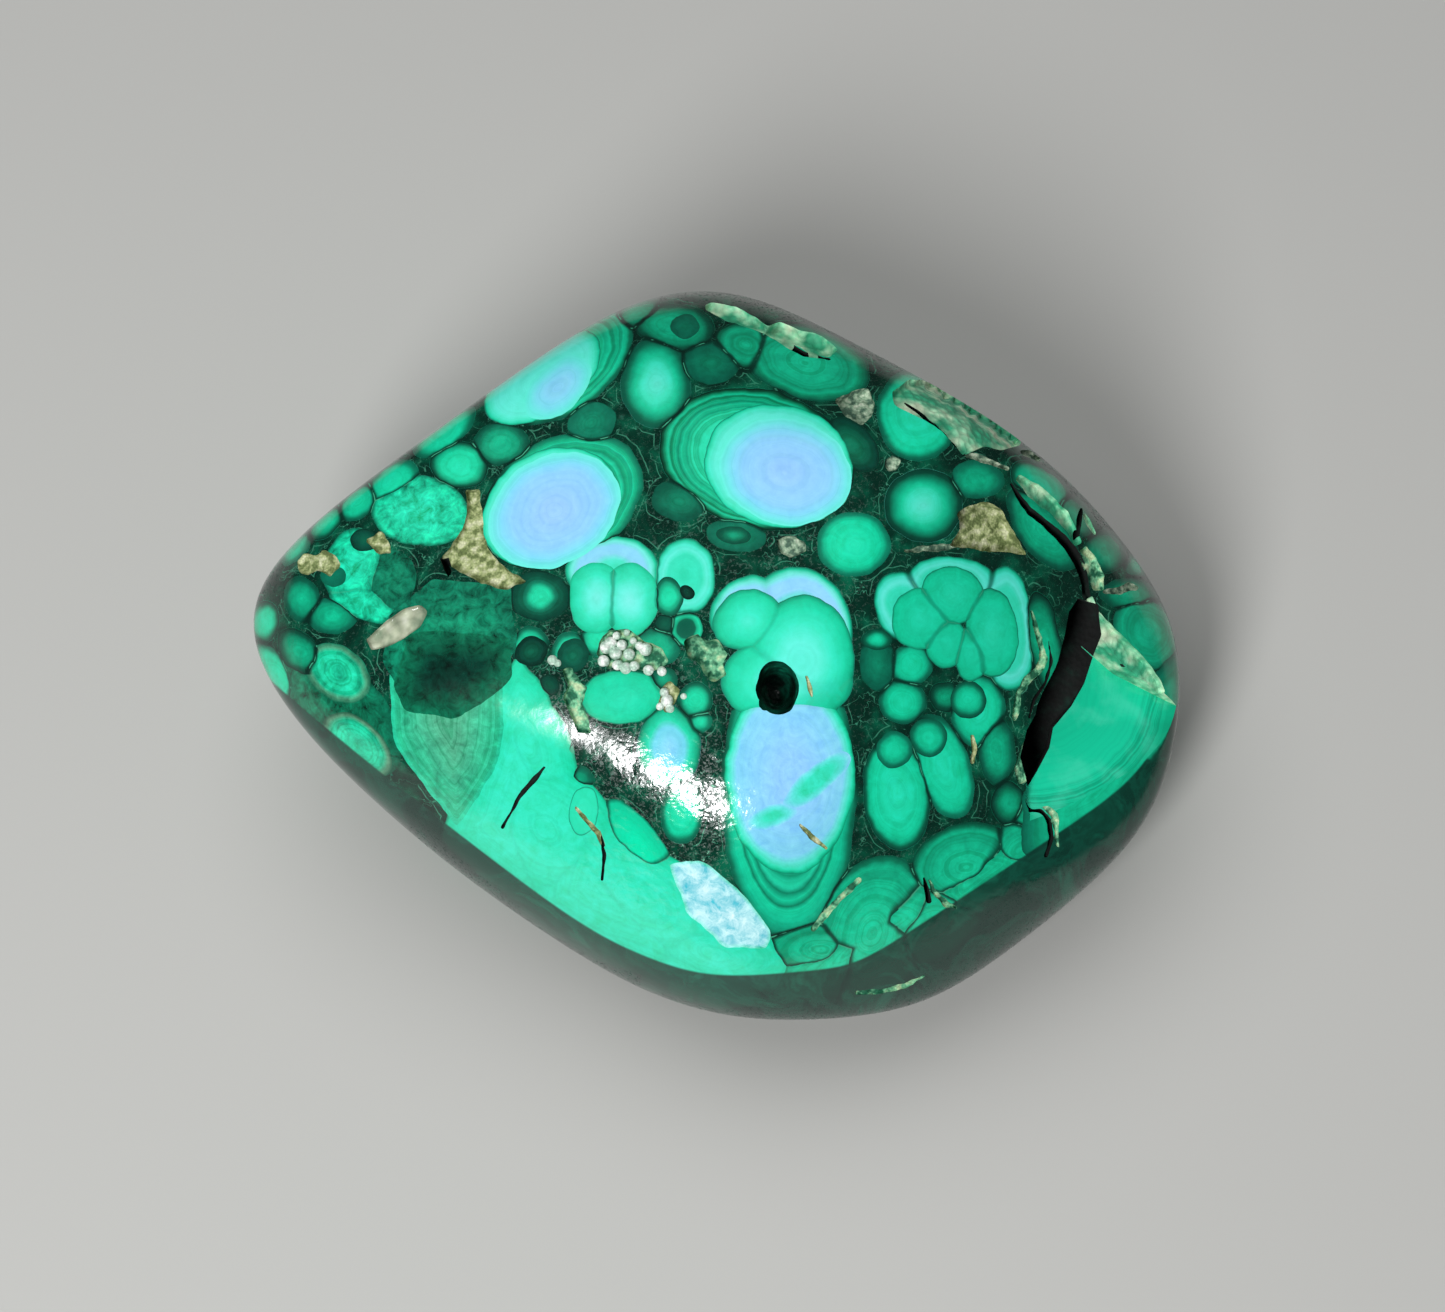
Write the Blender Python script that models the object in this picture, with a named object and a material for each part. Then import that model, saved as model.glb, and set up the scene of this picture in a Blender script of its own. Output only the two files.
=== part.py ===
"""A polished malachite freeform, about 90 mm long, lying on its one flat face.

The stone is one solid. It is described the way it was made: a lump ground back by flat laps, whose
faces run into each other with soft edges, and then left with its natural fissure, hole and vugs.
Its own parts are the ground body, a sunken slab at the right, a fissure, a hole, and raw pits.
"""

import math

import bmesh
import bpy
from mathutils import Matrix, Vector, noise

import numpy as np

MM = 0.001

# Driving dimensions, in millimetres and degrees
SHOW_RISE = 66.0  # the show side faces this far above the horizontal, towards -Y
READ_FROM = 420.0  # places on the show side are read from this far off, through the core
REST_BELOW_CORE = 18.5  # the lump is ground flat at this level, where it rests
CORE_AT = (-0.41, -0.66, REST_BELOW_CORE)  # sets the origin under the middle, on the resting face
EDGE_HARDNESS = 20.0  # how tightly two ground faces meet; higher is sharper
BODY_DETAIL = 5  # subdivisions of the sphere that the body is ground from

# Ground faces round the show side: turn about the show axis from the right end, lean towards
# the viewer, and distance from the core.
SHOW_FACES = {
    "far left": (125.7, 2, 33.2),
    "far": (95, 2, 36.0),
    "far right": (61.5, 2, 33.0),
    "right far": (40, 2, 38.0),
    "right": (-2, 0, 48.4),
    "near right": (-38, -4, 44.9),
    "near right turn": (-66, -4, 43.3),
    "near": (-90, -4, 39.4),
    "near left turn": (-115.5, -4, 34.3),
    "near left": (-138, -4, 33.6),
    "left": (171, 0, 48.6),
    "left far": (150.5, 2, 43.4),
    "front wall": (-90, 22, 36.5),
    "front wall left": (-122, 20, 31.2),
    "front wall right": (-52, 22, 39.6),
    "crown": (100, 84, 21.0),
    "shoulder far left": (125, 68, 23.0),
    "shoulder near left": (-125, 58, 25.5),
    "shoulder right": (0, 62, 25.5),
    "shoulder far": (85, 45, 28.5),
    "shoulder near right": (-60, 58, 28.0),
    "cheek right": (25, 36, 35.5),
    "cheek left": (180, 48, 35.0),
}

# Ground faces of the underside: compass turn from +X, rise above the horizontal, and distance.
UNDER_FACES = {
    "under left": (180, -42, 32.0),
    "under right": (0, -42, 34.5),
    "under near": (-90, -42, 32.0),
    "under far": (90, -35, 29.0),
    "under far left": (135, -30, 31.0),
    "under far right": (45, -30, 33.0),
    "under near left": (-135, -40, 30.0),
    "under near right": (-45, -40, 37.0),
    "under": (0, -90, 19.0),
}

# The sunken slab: where it passes through the skin, and how deep it lies there (across, up, depth).
SLAB_THROUGH = ((36.6, 1.4, 5.2), (30.8, -15.6, 0.1), (43.2, -7.0, 0.5))
# Its border, the edge of the block above it and then the lip of the flap (across, up).
SLAB_BORDER = (
    (37.3, 2.6),
    (34.0, 1.6),
    (33.0, -1.1),
    (31.3, -4.4),
    (30.6, -8.0),
    (30.1, -13.1),
    (30.5, -16.0),
    (37.0, -24.0),
    (52.0, -20.0),
    (52.0, -9.6),
    (43.6, -3.7),
    (39.8, -0.6),
)

# The fissure between the block and the flap, its width, and how far it goes in.
FISSURE_LINE = ((28.5, 17.1), (28.9, 15.9), (31.5, 13.4), (34.9, 10.3), (36.1, 6.8), (35.7, 3.4))
FISSURE_WIDTH = 1.1
FISSURE_DEPTH = 6.5
# The dark cavity where the fissure and the slab meet.
CAVITY_BORDER = ((35.2, 5.6), (37.1, 5.0), (38.0, 1.8), (37.2, 0.4), (35.0, -0.4), (33.7, 1.5))
CAVITY_DEPTH = 9.0
CUT_ABOVE = 8.0  # a straight cut starts this far outside the skin
SLAB_CUT_ABOVE = 15.0
FISSURE_START_SHARE = 0.4  # the fissure starts at this share of its width

# Holes and raw pits: across, up, half length, half width, depth, turn in the skin, roughness.
PITS = {
    "hole": (6.1, -3.1, 2.0, 2.5, 7.5, 0, 0.10),
    "hole_notch": (5.0, -4.6, 0.8, 0.7, 2.5, 0, 0.05),
    "tan_vug": (26.1, 12.2, 3.4, 2.4, 1.9, -8, 0.22),
    "grey_vug": (13.5, 24.1, 2.2, 1.8, 1.6, -20, 0.22),
    "pale_vug": (-23.8, 9.3, 4.2, 1.8, 1.8, -28, 0.25),
    "fibre_vug": (-0.8, -0.4, 2.2, 2.0, 2.2, 60, 0.25),
    "bone_vug": (-13.2, -4.2, 3.0, 1.0, 1.6, -65, 0.20),
    "ball_vug": (-8.7, 0.4, 2.8, 2.0, 1.4, 30, 0.15),
    "far_chip_left": (2.2, 33.0, 3.0, 1.0, 1.5, -22, 0.20),
    "far_chip_right": (8.6, 30.6, 3.5, 1.3, 1.6, -27, 0.22),
    "flaked_patch": (23.0, 23.8, 6.8, 2.2, 1.2, -33, 0.18),
    "near_notch": (21.1, -23.2, 0.7, 1.8, 1.2, -22, 0.10),
    "near_strip": (11.8, -24.1, 3.6, 0.7, 0.9, 48, 0.20),
    "slab_chip": (32.3, -16.4, 1.1, 2.6, 1.5, -14, 0.20),
    "left_dent": (-31.0, 2.6, 3.6, 1.2, 1.0, 30, 0.05),
    "lip_chip": (34.5, 9.2, 1.0, 3.2, 1.0, 44, 0.20),
}
PIT_DETAIL = 2
PIT_BUMPS = 2.3  # bumps of a raw pit wall, about this many to a pit
PIT_LIFT = 0.15  # the middle of a pit sits this share of its depth outside the skin

ACROSS = Vector((1, 0, 0))
UP = Vector((0, math.sin(math.radians(SHOW_RISE)), math.cos(math.radians(SHOW_RISE))))
OUT = Vector((0, -math.cos(math.radians(SHOW_RISE)), math.sin(math.radians(SHOW_RISE))))


def face_normals():
    """The outward normals of all ground faces, and each face's distance from the core."""
    normals = []
    distances = []
    for turn, lean, distance in SHOW_FACES.values():
        turn = math.radians(turn)
        lean = math.radians(lean)
        level = ACROSS * math.cos(turn) + UP * math.sin(turn)
        normals.append(level * math.cos(lean) + OUT * math.sin(lean))
        distances.append(distance * MM)
    for compass, rise, distance in UNDER_FACES.values():
        compass = math.radians(compass)
        rise = math.radians(rise)
        level = Vector((math.cos(compass), math.sin(compass), 0))
        normals.append(level * math.cos(rise) + Vector((0, 0, math.sin(rise))))
        distances.append(distance * MM)
    return np.array(normals), np.array(distances)


NORMALS, DISTANCES = face_normals()


def depth_level(points):
    """1 on the skin, less inside and more outside, for an array of points round the core."""
    pushes = np.maximum(points @ NORMALS.T / DISTANCES, 0)
    return (pushes**EDGE_HARDNESS).sum(-1) ** (1 / EDGE_HARDNESS)


def skin_normal(point):
    pushes = np.maximum(NORMALS @ np.array(point) / DISTANCES, 0)
    slope = (pushes ** (EDGE_HARDNESS - 1)) @ (NORMALS / DISTANCES[:, None])
    return Vector(slope).normalized()


def seen(across, up):
    """The point of the skin that shows at this place, or the place itself where it misses."""
    eye = OUT * READ_FROM * MM
    place = (ACROSS * across + UP * up) * MM
    ray = (place - eye).normalized()
    reach = READ_FROM * MM + np.arange(-40, 25, 0.02) * MM
    points = np.array(eye) + reach[:, None] * np.array(ray)
    inside = np.nonzero(depth_level(points) <= 1)[0]
    return Vector(points[inside[0]]) if len(inside) else place


def add_object(name, mesh, collection, matrix):
    made = bpy.data.objects.new(name, mesh)
    made.matrix_world = Matrix.Translation(Vector(CORE_AT) * MM) @ matrix
    collection.objects.link(made)
    return made


def ground_body(collection):
    """A sphere with every vertex moved to the skin, then cut flat where the stone rests."""
    mesh = bpy.data.meshes.new("ground body")
    shape = bmesh.new()
    bmesh.ops.create_icosphere(shape, subdivisions=BODY_DETAIL, radius=1)
    directions = np.array([vertex.co.normalized() for vertex in shape.verts])
    reach = 1 / depth_level(directions)
    for vertex, direction, distance in zip(shape.verts, directions, reach):
        vertex.co = Vector(direction * distance)
    cut = bmesh.ops.bisect_plane(
        shape,
        geom=shape.verts[:] + shape.edges[:] + shape.faces[:],
        plane_co=(0, 0, -REST_BELOW_CORE * MM),
        plane_no=(0, 0, -1),
        clear_outer=True,
    )
    rim = [part for part in cut["geom_cut"] if isinstance(part, bmesh.types.BMEdge)]
    bmesh.ops.edgeloop_fill(shape, edges=rim)
    bmesh.ops.recalc_face_normals(shape, faces=shape.faces[:])
    shape.to_mesh(mesh)
    shape.free()
    mesh.shade_smooth()
    return add_object("malachite_stone", mesh, collection, Matrix())


def plane_matrix(point, normal, turn=0.0):
    """A frame at the point, its Z along the normal and its X the way across, turned in the skin."""
    side = (ACROSS - normal * normal.dot(ACROSS)).normalized()
    axes = Matrix((side, normal.cross(side), normal)).transposed().to_4x4()
    return Matrix.Translation(point) @ axes @ Matrix.Rotation(math.radians(turn), 4, "Z")


def outline_cutter(name, border, matrix, deep, high, collection):
    """A straight-sided cutter: the border seen on the skin, from deep under the frame to high."""
    curve = bpy.data.curves.new(name, "CURVE")
    curve.dimensions = "2D"
    curve.fill_mode = "BOTH"
    curve.extrude = (deep + high) / 2 * MM
    spline = curve.splines.new("POLY")
    spline.points.add(len(border) - 1)
    spline.use_cyclic_u = True
    to_frame = matrix.inverted()
    for point, place in zip(spline.points, border):
        flat = to_frame @ place
        point.co = (flat.x, flat.y, 0, 1)
    drawn = bpy.data.objects.new(name, curve)
    collection.objects.link(drawn)
    solid = bpy.data.meshes.new_from_object(drawn.evaluated_get(bpy.context.evaluated_depsgraph_get()))
    bpy.data.objects.remove(drawn)
    shape = bmesh.new()
    shape.from_mesh(solid)
    bmesh.ops.remove_doubles(shape, verts=shape.verts[:], dist=1e-6)
    bmesh.ops.recalc_face_normals(shape, faces=shape.faces[:])
    shape.to_mesh(solid)
    shape.free()
    middle = Matrix.Translation((0, 0, (high - deep) / 2 * MM))
    return add_object(name, solid, collection, matrix @ middle)


def slab_cutter(collection):
    """Takes the right end down to the sunken slab, square to the slab's own plane."""
    corners = [seen(across, up) - OUT * depth * MM for across, up, depth in SLAB_THROUGH]
    normal = (corners[1] - corners[0]).cross(corners[2] - corners[0]).normalized()
    if normal.dot(OUT) < 0:
        normal.negate()
    border = [seen(across, up) for across, up in SLAB_BORDER]
    matrix = plane_matrix(corners[0], normal)
    return outline_cutter("slab_cut", border, matrix, 0, SLAB_CUT_ABOVE, collection)


def strip_border(line, width):
    """Both sides of a line of the given width, as one closed border that tapers at its start."""
    points = [Vector(place) for place in line]
    left = []
    right = []
    for index, point in enumerate(points):
        before = points[max(index - 1, 0)]
        after = points[min(index + 1, len(points) - 1)]
        along = (after - before).normalized()
        share = FISSURE_START_SHARE if index == 0 else 1
        side = Vector((-along.y, along.x)) * width / 2 * share
        left.append(point + side)
        right.append(point - side)
    return left + right[::-1]


def straight_cut(name, border, depth, collection):
    """A cut that goes straight in from the show side, from its border down to the depth."""
    places = [seen(*place) for place in border]
    middle = sum(places, Vector()) / len(places)
    return outline_cutter(name, places, plane_matrix(middle, OUT), depth, CUT_ABOVE, collection)


def pit_cutter(name, across, up, half_length, half_width, depth, turn, roughness, collection):
    """A rough, squashed ball that takes one pit out of the skin."""
    point = seen(across, up)
    normal = skin_normal(point)
    mesh = bpy.data.meshes.new(name)
    shape = bmesh.new()
    bmesh.ops.create_icosphere(shape, subdivisions=PIT_DETAIL, radius=1)
    half = Vector((half_length, half_width, depth)) * MM
    for vertex in shape.verts:
        bump = 1 + roughness * noise.noise(vertex.co * PIT_BUMPS + Vector((across, up, depth)))
        vertex.co = vertex.co * bump * half
    shape.to_mesh(mesh)
    shape.free()
    centre = point + normal * depth * PIT_LIFT * MM
    return add_object(name, mesh, collection, plane_matrix(centre, normal, turn))


def polished_malachite():
    material = bpy.data.materials.new("polished malachite")
    material.use_nodes = True
    surface = material.node_tree.nodes["Principled BSDF"]
    surface.inputs["Base Color"].default_value = (0.0, 0.30, 0.17, 1)
    surface.inputs["Roughness"].default_value = 0.15
    surface.inputs["Metallic"].default_value = 0
    material.diffuse_color = (0.0, 0.30, 0.17, 1)
    return material


def main():
    for old in list(bpy.data.objects):
        bpy.data.objects.remove(old)
    scene = bpy.context.scene.collection
    parts = bpy.data.collections.new("malachite specimen")
    cutters = bpy.data.collections.new("cutters")
    scene.children.link(parts)
    scene.children.link(cutters)

    stone = ground_body(parts)
    stone.data.materials.append(polished_malachite())

    fissure = strip_border(FISSURE_LINE, FISSURE_WIDTH)
    cuts = [
        slab_cutter(cutters),
        straight_cut("fissure_cut", fissure, FISSURE_DEPTH, cutters),
        straight_cut("cavity_cut", CAVITY_BORDER, CAVITY_DEPTH, cutters),
    ]
    cuts += [pit_cutter(name, *sizes, cutters) for name, sizes in PITS.items()]
    for cut in cuts:
        cut.hide_render = True
        cut.display_type = "WIRE"
        taken = stone.modifiers.new(cut.name, "BOOLEAN")
        taken.operation = "DIFFERENCE"
        taken.solver = "EXACT"
        taken.object = cut
    cutters.hide_render = True


main()
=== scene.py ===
"""Looks of the polished malachite stone: its fine skin, its banded pattern, its raw pits and the studio.

The stone is one piece. Its form repeats the ground faces of the solid, at a finer step, and its
pattern is a bundle of malachite columns that grew towards the show side and were cut across there.
"""

import math

import bpy
import numpy as np
from mathutils import Matrix, Vector


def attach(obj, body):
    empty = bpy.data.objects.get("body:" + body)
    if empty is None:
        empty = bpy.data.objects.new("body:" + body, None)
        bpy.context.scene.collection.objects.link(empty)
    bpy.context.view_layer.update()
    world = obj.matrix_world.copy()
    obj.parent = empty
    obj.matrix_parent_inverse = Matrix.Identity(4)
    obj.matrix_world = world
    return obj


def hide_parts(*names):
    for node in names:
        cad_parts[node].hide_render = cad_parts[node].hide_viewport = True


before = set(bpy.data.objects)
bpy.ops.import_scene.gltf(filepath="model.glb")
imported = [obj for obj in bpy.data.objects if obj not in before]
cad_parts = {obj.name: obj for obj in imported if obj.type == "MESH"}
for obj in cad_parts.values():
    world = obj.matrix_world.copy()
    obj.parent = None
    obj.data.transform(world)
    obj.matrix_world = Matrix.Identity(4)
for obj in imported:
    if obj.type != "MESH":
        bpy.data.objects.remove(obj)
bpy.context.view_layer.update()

MM = 0.001

# The form, in millimetres and degrees: the same ground faces as the solid's
SHOW_RISE = 66.0  # how far the show axis rises above the horizontal
READ_FROM = 420.0  # how far out from the core the photograph was taken
REST_BELOW_CORE = 18.5
CORE_AT = (-0.41, -0.66, REST_BELOW_CORE)
EDGE_HARDNESS = 20.0  # how sharply neighbouring ground faces meet
SIGHT_SEARCH = (-40, 25, 0.02)  # where a sight line is searched for the skin: from, to, and step
SKIN_DETAIL = 7  # subdivisions of the sphere: edges of about 0.7 mm on the skin

# Ground faces round the show side: turn about the show axis from the right end, lean towards
# the viewer, and distance from the core.
SHOW_FACES = {
    "far left": (125.7, 2, 33.2),
    "far": (95, 2, 36.0),
    "far right": (61.5, 2, 33.0),
    "right far": (40, 2, 38.0),
    "right": (-2, 0, 48.4),
    "near right": (-38, -4, 44.9),
    "near right turn": (-66, -4, 43.3),
    "near": (-90, -4, 39.4),
    "near left turn": (-115.5, -4, 34.3),
    "near left": (-138, -4, 33.6),
    "left": (171, 0, 48.6),
    "left far": (150.5, 2, 43.4),
    "front wall": (-90, 22, 36.5),
    "front wall left": (-122, 20, 31.2),
    "front wall right": (-52, 22, 39.6),
    "crown": (100, 84, 21.0),
    "shoulder far left": (125, 68, 23.0),
    "shoulder near left": (-125, 58, 25.5),
    "shoulder right": (0, 62, 25.5),
    "shoulder far": (85, 45, 28.5),
    "shoulder near right": (-60, 58, 28.0),
    "cheek right": (25, 36, 35.5),
    "cheek left": (180, 48, 35.0),
}

# Ground faces of the underside: compass turn from +X, rise above the horizontal, and distance.
UNDER_FACES = {
    "under left": (180, -42, 32.0),
    "under right": (0, -42, 34.5),
    "under near": (-90, -42, 32.0),
    "under far": (90, -35, 29.0),
    "under far left": (135, -30, 31.0),
    "under far right": (45, -30, 33.0),
    "under near left": (-135, -40, 30.0),
    "under near right": (-45, -40, 37.0),
    "under": (0, -90, 19.0),
}

# The sunken slab: where it passes through the skin, and how deep it lies there (across, up, depth).
SLAB_THROUGH = ((36.6, 1.4, 5.2), (30.8, -15.6, 0.1), (43.2, -7.0, 0.5))
# Its border, the edge of the block above it and then the lip of the flap (across, up).
SLAB_BORDER = (
    (37.3, 2.6),
    (34.0, 1.6),
    (33.0, -1.1),
    (31.3, -4.4),
    (30.6, -8.0),
    (30.1, -13.1),
    (30.5, -16.0),
    (37.0, -24.0),
    (52.0, -20.0),
    (52.0, -9.6),
    (43.6, -3.7),
    (39.8, -0.6),
)

# The cavity where the fissure and the slab meet, its walls near black as painted shadow.
CAVITY_BORDER = (
    (35.2, 5.6), (37.1, 5.0), (37.5, 2.1), (37.0, -0.1), (36.1, -2.7), (34.8, -4.9), (33.0, -7.0),
    (32.6, -8.9), (31.4, -11.1), (30.4, -12.7), (29.6, -9.8), (30.2, -7.2), (31.7, -4.5),
    (33.1, -1.0), (33.9, 2.1), (34.3, 4.3),
)
CAVITY_DEPTH = 6.5
CUT_ABOVE = 8.0  # a straight cut starts this far outside the skin
SLAB_CUT_ABOVE = 15.0
FLAP_FROM = 36.0  # the slab's walls right of this and above the next are the flap's broken edge
FLAP_ABOVE = -6.0

# The round hole and the notch in its rim: across, up, half length, half width, depth.
HOLE_PITS = {
    "hole": (6.1, -3.1, 2.0, 2.5, 7.5),
    "hole_notch": (5.0, -4.6, 0.8, 0.7, 2.5),
}
HOLE_LUMPS = (1.6, 0.5)  # how coarse the lumps of the hole's wall are and how high
FINE_PIT_DETAIL = 4
PIT_LIFT = 0.15  # the middle of a pit sits this share of its depth outside the skin

# The show axes: across to the right end, up the show face, and out towards the viewer.
ACROSS = Vector((1, 0, 0))
UP = Vector((0, math.sin(math.radians(SHOW_RISE)), math.cos(math.radians(SHOW_RISE))))
OUT = Vector((0, -math.cos(math.radians(SHOW_RISE)), math.sin(math.radians(SHOW_RISE))))
CORE = Vector(CORE_AT) * MM

# Raw places with an outline: their surface, their depth, and their border (across, up).
HOLLOWS = {
    "tan vug": (
        "tan crust", 1.1,
        (23.4, 13.9), (24.9, 14.7), (26.4, 14.9), (27.9, 14.1), (28.4, 13.1), (29.5, 11),
        (30.2, 9.8), (28.1, 10.1), (26.1, 10.1), (24.5, 10.5), (22.7, 10.6), (23.8, 12.3),
    ),
    "grey vug": (
        "grey crust", 0.9,
        (11.6, 24.8), (13.3, 25.7), (14.8, 25.9), (15.5, 24.7), (15.3, 23.3), (14.2, 22.3),
        (12.7, 23.2),
    ),
    "small grey vug": (
        "grey crust", 0.5,
        (6, 11.2), (7.5, 11.7), (8.7, 11), (8.9, 10.1), (7.4, 9.5), (6.3, 10.1),
    ),
    "corner vug": (
        "grey crust", 0.4,
        (16.4, 18.9), (17.2, 19.5), (18.1, 19.1), (17.7, 18.1), (16.7, 17.8),
    ),
    "left vein": (
        "tan crust", 0.8,
        (-24.1, 16), (-22.8, 16.2), (-22.5, 14), (-22.4, 11.8), (-21.7, 10), (-20.2, 8.4),
        (-18.1, 7.2), (-20.3, 6.4), (-22.7, 7.1), (-24.5, 8.1), (-26.6, 9.3), (-25.5, 10.6),
        (-24.3, 12.5), (-23.9, 14.2),
    ),
    "left slit": (
        "dark hollow", 1.6,
        (-26.7, 9.4), (-26, 9.8), (-25.4, 8.1), (-25.8, 7.5),
    ),
    # its pale colour is partly its own and partly painted glare
    "left lens": (
        "glossy tan", 0.5,
        (-33.8, 1.6), (-31.9, 3.4), (-30, 4.5), (-28.5, 4.9), (-27.8, 4.3), (-28.5, 2.9),
        (-30.1, 1.6), (-31.9, 0.8), (-33.3, 0.5),
    ),
    "left granules": (
        "tan crust", 0.45,
        (-40.5, 9.2), (-39.8, 10), (-38.6, 9.7), (-37.8, 10.2), (-36.7, 9.8), (-36.2, 8.8),
        (-37.2, 7.7), (-38.4, 8.4), (-39.4, 7.8), (-40.3, 8.2),
    ),
    "left granules b": (
        "tan crust", 0.4,
        (-33.7, 11.2), (-32.4, 12.1), (-31.5, 11.2), (-31.4, 10), (-32.4, 9.8), (-33.1, 10.5),
    ),
    "fibre vug": (
        "pale crust", 1.2,
        (-3, 1.5), (-1.6, 2.2), (-0.9, 1.5), (0.3, 1.6), (1.3, 0.2), (0.7, -0.7),
        (1.1, -1.8), (-0.1, -2.6), (-1.1, -1.8), (-1.5, -0.5), (-2.6, -0.3),
    ),
    "bone vein": (
        "pale crust", 0.8,
        (-14.8, -1.4), (-13.9, -1), (-13.3, -2.1), (-12.4, -3), (-12.9, -4.5), (-12.2, -6.1),
        (-11.9, -7.5), (-13.3, -7.5), (-14, -5.7), (-14.7, -4.2), (-14.1, -2.8),
    ),
    "ball vug": (
        "pale crust", 0.7,
        (-11.1, 1.5), (-10.1, 2.5), (-8.4, 2.7), (-6.9, 1.5), (-4.9, 0.7), (-4.5, -0.7),
        (-6.1, -1.6), (-8.4, -1), (-10.3, -1.2), (-11.4, 0),
    ),
    "tan cluster": (
        "tan crust", 0.5,
        (-5.3, -3.3), (-4.3, -2.2), (-3.4, -3.2), (-3.8, -4.6), (-4.5, -5.6), (-5.4, -4.7),
    ),
    "far chip left": (
        "pale fracture", 0.7,
        (-1.2, 33.9), (-0.2, 34.3), (1.9, 33.8), (3.9, 32.9), (5.1, 31.9), (4.5, 31.5),
        (2.9, 32.1), (1.2, 32.5), (-0.4, 33.2),
    ),
    "far chip right": (
        "pale fracture", 1.0,
        (4.9, 31.7), (6.3, 32.4), (8.2, 31.6), (10.4, 30.9), (11.9, 29.7), (11.1, 28.8),
        (9.4, 29.1), (7.7, 30.1), (6.1, 30.8),
    ),
    "flaked patch": (
        "pale fracture", 0.6,
        (17.2, 25.6), (18.9, 26.8), (21.3, 26.5), (24.2, 24.9), (26.6, 23.4), (28.9, 21.9),
        (29.7, 20.5), (27.9, 19.8), (26.1, 20.3), (24.3, 19.5), (22.7, 21.3), (20.8, 22.5),
        (19.1, 23.5), (17.5, 24.4),
    ),
    "middle shard": (
        "pale crust", 0.4,
        (28.9, -11), (29.7, -8.7), (30.5, -7.6), (30.7, -10), (30.2, -12.2), (29.4, -12.5),
    ),
}

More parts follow.
